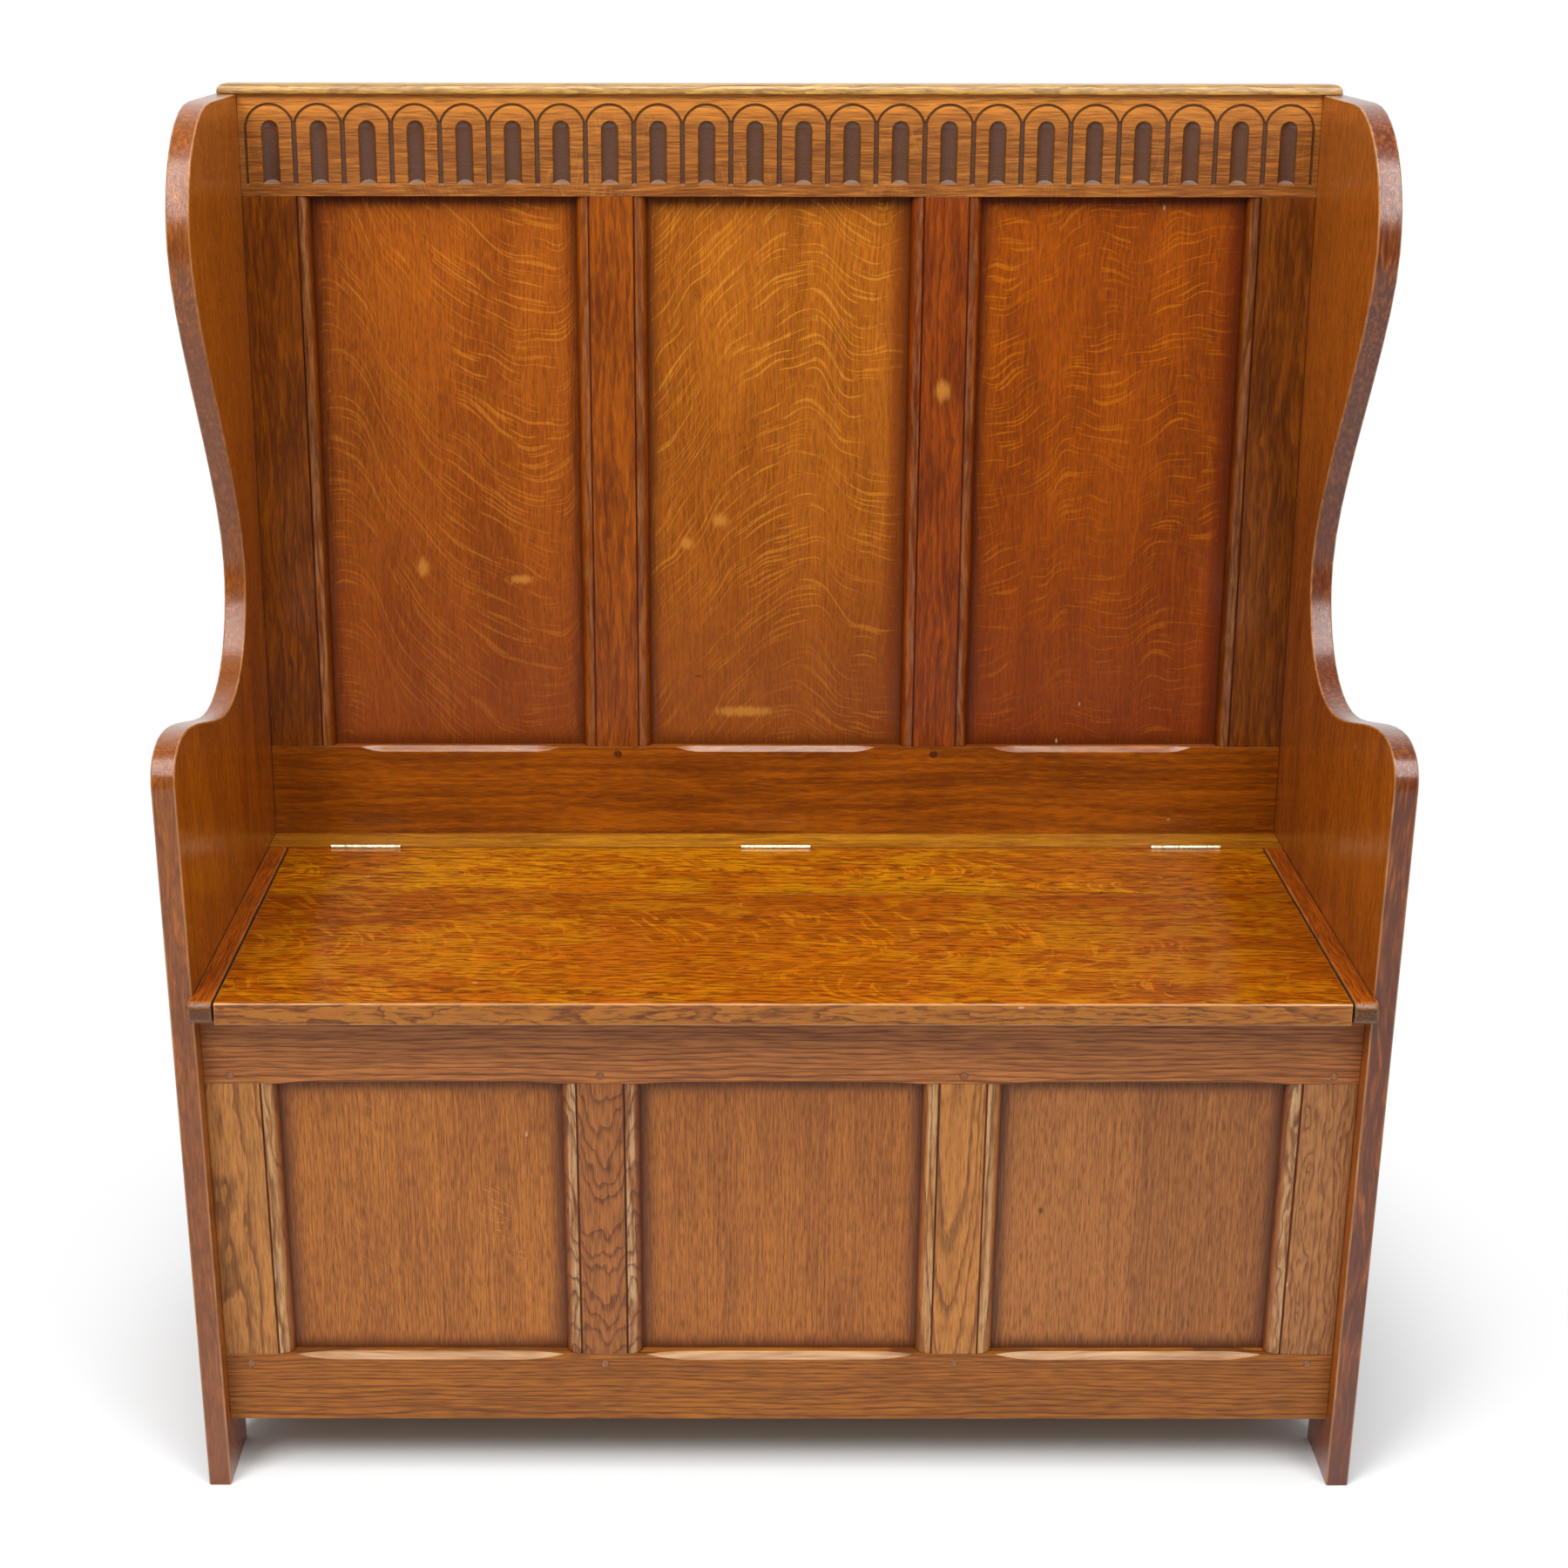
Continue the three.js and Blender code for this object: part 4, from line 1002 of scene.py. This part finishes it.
class SETTLE_OT_hinges(bpy.types.Operator):
    """Finish the butt hinges and put in their screws"""

    bl_idname = "settle.hinges"
    bl_label = "Hinges"

    def execute(self, context):
        material = rubbed_brass()
        for name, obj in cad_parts.items():
            if name.startswith(("hinge_leaf", "hinge_pin")):
                give(obj, material)
                ease_edges(obj, context.scene.hinge_metal.brass_radius)
        for place in ("left", "centre", "right"):
            for leaf, body, outward in (("fixed", "settle", -Y), ("lid", "lid", Y)):
                low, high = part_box(f"hinge_leaf_{leaf}_{place}")
                # The leaf's broad outer face, where the heads sit
                plate = [
                    face.center.y
                    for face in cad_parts[f"hinge_leaf_{leaf}_{place}"].data.polygons
                    if face.normal.dot(outward) > 0.999 and face.area > 20 * MM * MM
                ]
                depth = min(plate) if outward.y < 0 else max(plate)
                # As shares of the leaf's width and height
                for i, share in enumerate((0.17, 0.5, 0.83), 1):
                    across, _, height = low + (high - low) * Vector((share, 0, 0.36))
                    name = f"hinge_screw_{leaf}_{place}_{i}"
                    screw(name, Vector((across, depth, height)), outward, body, material)
        return {"FINISHED"}


def lamp(name, place, aim, size, watts, lights=True, mirrored=False):
    """A soft lamp turned to a point, which lights the settle, is mirrored, or both."""
    light = bpy.data.lights.new(name, "AREA")
    light.shape = "RECTANGLE"
    light.size, light.size_y = size
    light.energy = watts
    obj = bpy.data.objects.new(name, light)
    obj.location = place
    obj.rotation_euler = (aim - Vector(place)).to_track_quat("-Z", "Y").to_euler()
    obj.visible_camera = False
    obj.visible_diffuse = lights
    obj.visible_glossy = mirrored
    bpy.context.scene.collection.objects.link(obj)


class SETTLE_OT_stage(bpy.types.Operator):
    """Set the floor, the room, the lamps and the camera"""

    bl_idname = "settle.stage"
    bl_label = "Stage"

    def execute(self, context):
        scene = context.scene
        stage = scene.settle_stage
        scene.view_settings.view_transform = "Standard"
        white = opaque(linear("#ffffff"))

        mesh = bpy.data.meshes.new("floor")
        sheet = bmesh.new()
        bmesh.ops.create_grid(sheet, x_segments=1, y_segments=1, size=stage.floor_size / 2)
        sheet.to_mesh(mesh)
        sheet.free()
        floor = bpy.data.objects.new("floor", mesh)
        scene.collection.objects.link(floor)
        material = bpy.data.materials.new("white_paper_floor")
        tree = empty_tree(material)
        ray = add(tree, "LightPath")
        shiny = add(tree, "Math", {
            0: ray.outputs["Is Glossy Ray"], 1: ray.outputs["Is Transmission Ray"],
        }, operation="MAXIMUM")
        seen = add(tree, "Math", {0: ray.outputs["Is Camera Ray"], 1: shiny}, operation="MAXIMUM")
        # Where it is looked at, the paper is bright enough to be white, shadow and all
        paper = add(tree, "Mix", {
            "Factor": seen, "A": opaque(stage.floor), "B": opaque(stage.seen_floor),
        }, data_type="RGBA")
        matt = add(tree, "BsdfDiffuse", {"Color": paper})
        place = add(tree, "TexCoord").outputs["Object"]
        reach = add(tree, "VectorMath", {0: place}, operation="LENGTH")
        faded = add(tree, "MapRange", {
            "Value": reach.outputs["Value"], "From Min": stage.shadow_near,
            "From Max": stage.shadow_far,
        }, **SMOOTH)
        lift = add(tree, "Math", {0: seen, 1: faded}, operation="MULTIPLY")
        glow = add(tree, "Emission", {"Color": white})
        both = add(tree, "MixShader", {0: lift, 1: matt, 2: glow})
        add(tree, "OutputMaterial", {"Surface": both})
        give(floor, material)

        world = bpy.data.worlds.new("white_room")
        scene.world = world
        tree = empty_tree(world)
        ray = add(tree, "LightPath")
        parts = add(tree, "SeparateXYZ", {"Vector": add(tree, "TexCoord").outputs["Generated"]})
        # The room is white to every eye. Gloss finds it white behind, dim above, dark in front
        behind = add(tree, "MapRange", {
            "Value": parts.outputs["Y"], "From Min": 0.2, "From Max": 0.7, "To Min": 0.08,
        }, **SMOOTH)
        above = add(tree, "MapRange", {
            "Value": parts.outputs["Z"], "From Min": 0.5, "From Max": 0.9, "To Max": 0.15,
        }, **SMOOTH)
        mirrored = add(tree, "Math", {0: behind, 1: above}, operation="MAXIMUM")
        shiny = add(tree, "Math", {
            0: ray.outputs["Is Glossy Ray"], 1: mirrored,
        }, operation="MULTIPLY")
        clear = add(tree, "Math", {
            0: ray.outputs["Is Camera Ray"], 1: ray.outputs["Is Transmission Ray"],
        }, operation="MAXIMUM")
        height = add(tree, "MapRange", {
            "Value": parts.outputs["Z"], "From Min": 0, "From Max": 0.7,
            "To Min": stage.room_light * 0.2, "To Max": stage.room_light,
        }, **SMOOTH)
        matt = add(
            tree, "Math", {0: ray.outputs["Is Diffuse Ray"], 1: height}, operation="MULTIPLY"
        )
        strength = add(tree, "Math", {0: clear, 1: shiny}, operation="MAXIMUM")
        strength = add(tree, "Math", {0: strength, 1: matt}, operation="MAXIMUM")
        sky = add(tree, "Background", {"Color": white, "Strength": strength})
        add(tree, "OutputWorld", {"Surface": sky})

        middle = (Vector(CAD_BOX[0]) + Vector(CAD_BOX[1])) / 2
        square = (1.4, 1.4)
        lamp("left_softbox", (-1.7, -2, 3), middle, square, 74)
        lamp("right_softbox", (1.6, -2, 3), middle, square, 38)
        lamp("overhead", (0, -0.8, 3.6), middle, square, 54, mirrored=True)
        # Two tall strips that only gloss mirrors: on the wings and arms, not on the seat
        for name, x, watts in (("left_sheen", -1.5, 74), ("right_sheen", 1.65, 94)):
            aim = Vector((x, 0, 0.6))
            lamp(name, (x, -2.6, 3.9), aim, (0.45, 4), watts, lights=False, mirrored=True)

        camera = bpy.data.cameras.new("camera")
        camera.lens = stage.lens
        camera.sensor_width = 36
        camera.shift_x = 0.03155
        camera.shift_y = 0.0008
        obj = bpy.data.objects.new("camera", camera)
        obj.location = (-0.0427, -2.0274, 1.3025)
        yaw, pitch, roll = (math.radians(angle) for angle in (0.0719, 19.4163, 0.0775))
        forward = Vector(
            (math.sin(yaw) * math.cos(pitch), math.cos(yaw) * math.cos(pitch), -math.sin(pitch))
        )
        right = forward.cross(Z).normalized()
        tilted = right * math.cos(roll) + right.cross(forward) * math.sin(roll)
        axes = Matrix((tilted, tilted.cross(forward), -forward)).transposed()
        obj.rotation_euler = axes.to_euler()
        scene.collection.objects.link(obj)
        scene.camera = obj
        return {"FINISHED"}


class SETTLE_PT_panel(bpy.types.Panel):
    """The settle's finishes, and the steps that lay them on"""

    bl_label = "Settle"
    bl_idname = "SETTLE_PT_panel"
    bl_space_type = "VIEW_3D"
    bl_region_type = "UI"
    bl_category = "Settle"

    def draw(self, context):
        for key, group in GROUPS.items():
            box = self.layout.box()
            for name in group.__annotations__:
                box.prop(getattr(context.scene, key), name)
        for step in STEPS:
            self.layout.operator(step.bl_idname)


GROUPS = {
    "oak_tones": OakTones, "oak_finish": OakFinish, "hinge_metal": HingeMetal, "settle_stage": Stage
}
STEPS = (
    SETTLE_OT_ends, SETTLE_OT_front, SETTLE_OT_back, SETTLE_OT_top, SETTLE_OT_seat, SETTLE_OT_pegs,
    SETTLE_OT_inside, SETTLE_OT_hinges, SETTLE_OT_stage,
)


def register():
    for cls in (*GROUPS.values(), *STEPS, SETTLE_PT_panel):
        bpy.utils.register_class(cls)
    for key, group in GROUPS.items():
        setattr(bpy.types.Scene, key, bpy.props.PointerProperty(type=group))


def unregister():
    for key in GROUPS:
        delattr(bpy.types.Scene, key)
    for cls in reversed((*GROUPS.values(), *STEPS, SETTLE_PT_panel)):
        bpy.utils.unregister_class(cls)


def main():
    register()
    bpy.ops.settle.ends()
    bpy.ops.settle.front()
    bpy.ops.settle.back()
    bpy.ops.settle.top()
    bpy.ops.settle.seat()
    bpy.ops.settle.pegs()
    bpy.ops.settle.inside()
    bpy.ops.settle.hinges()
    bpy.ops.settle.stage()


if __name__ == "__main__":
    main()
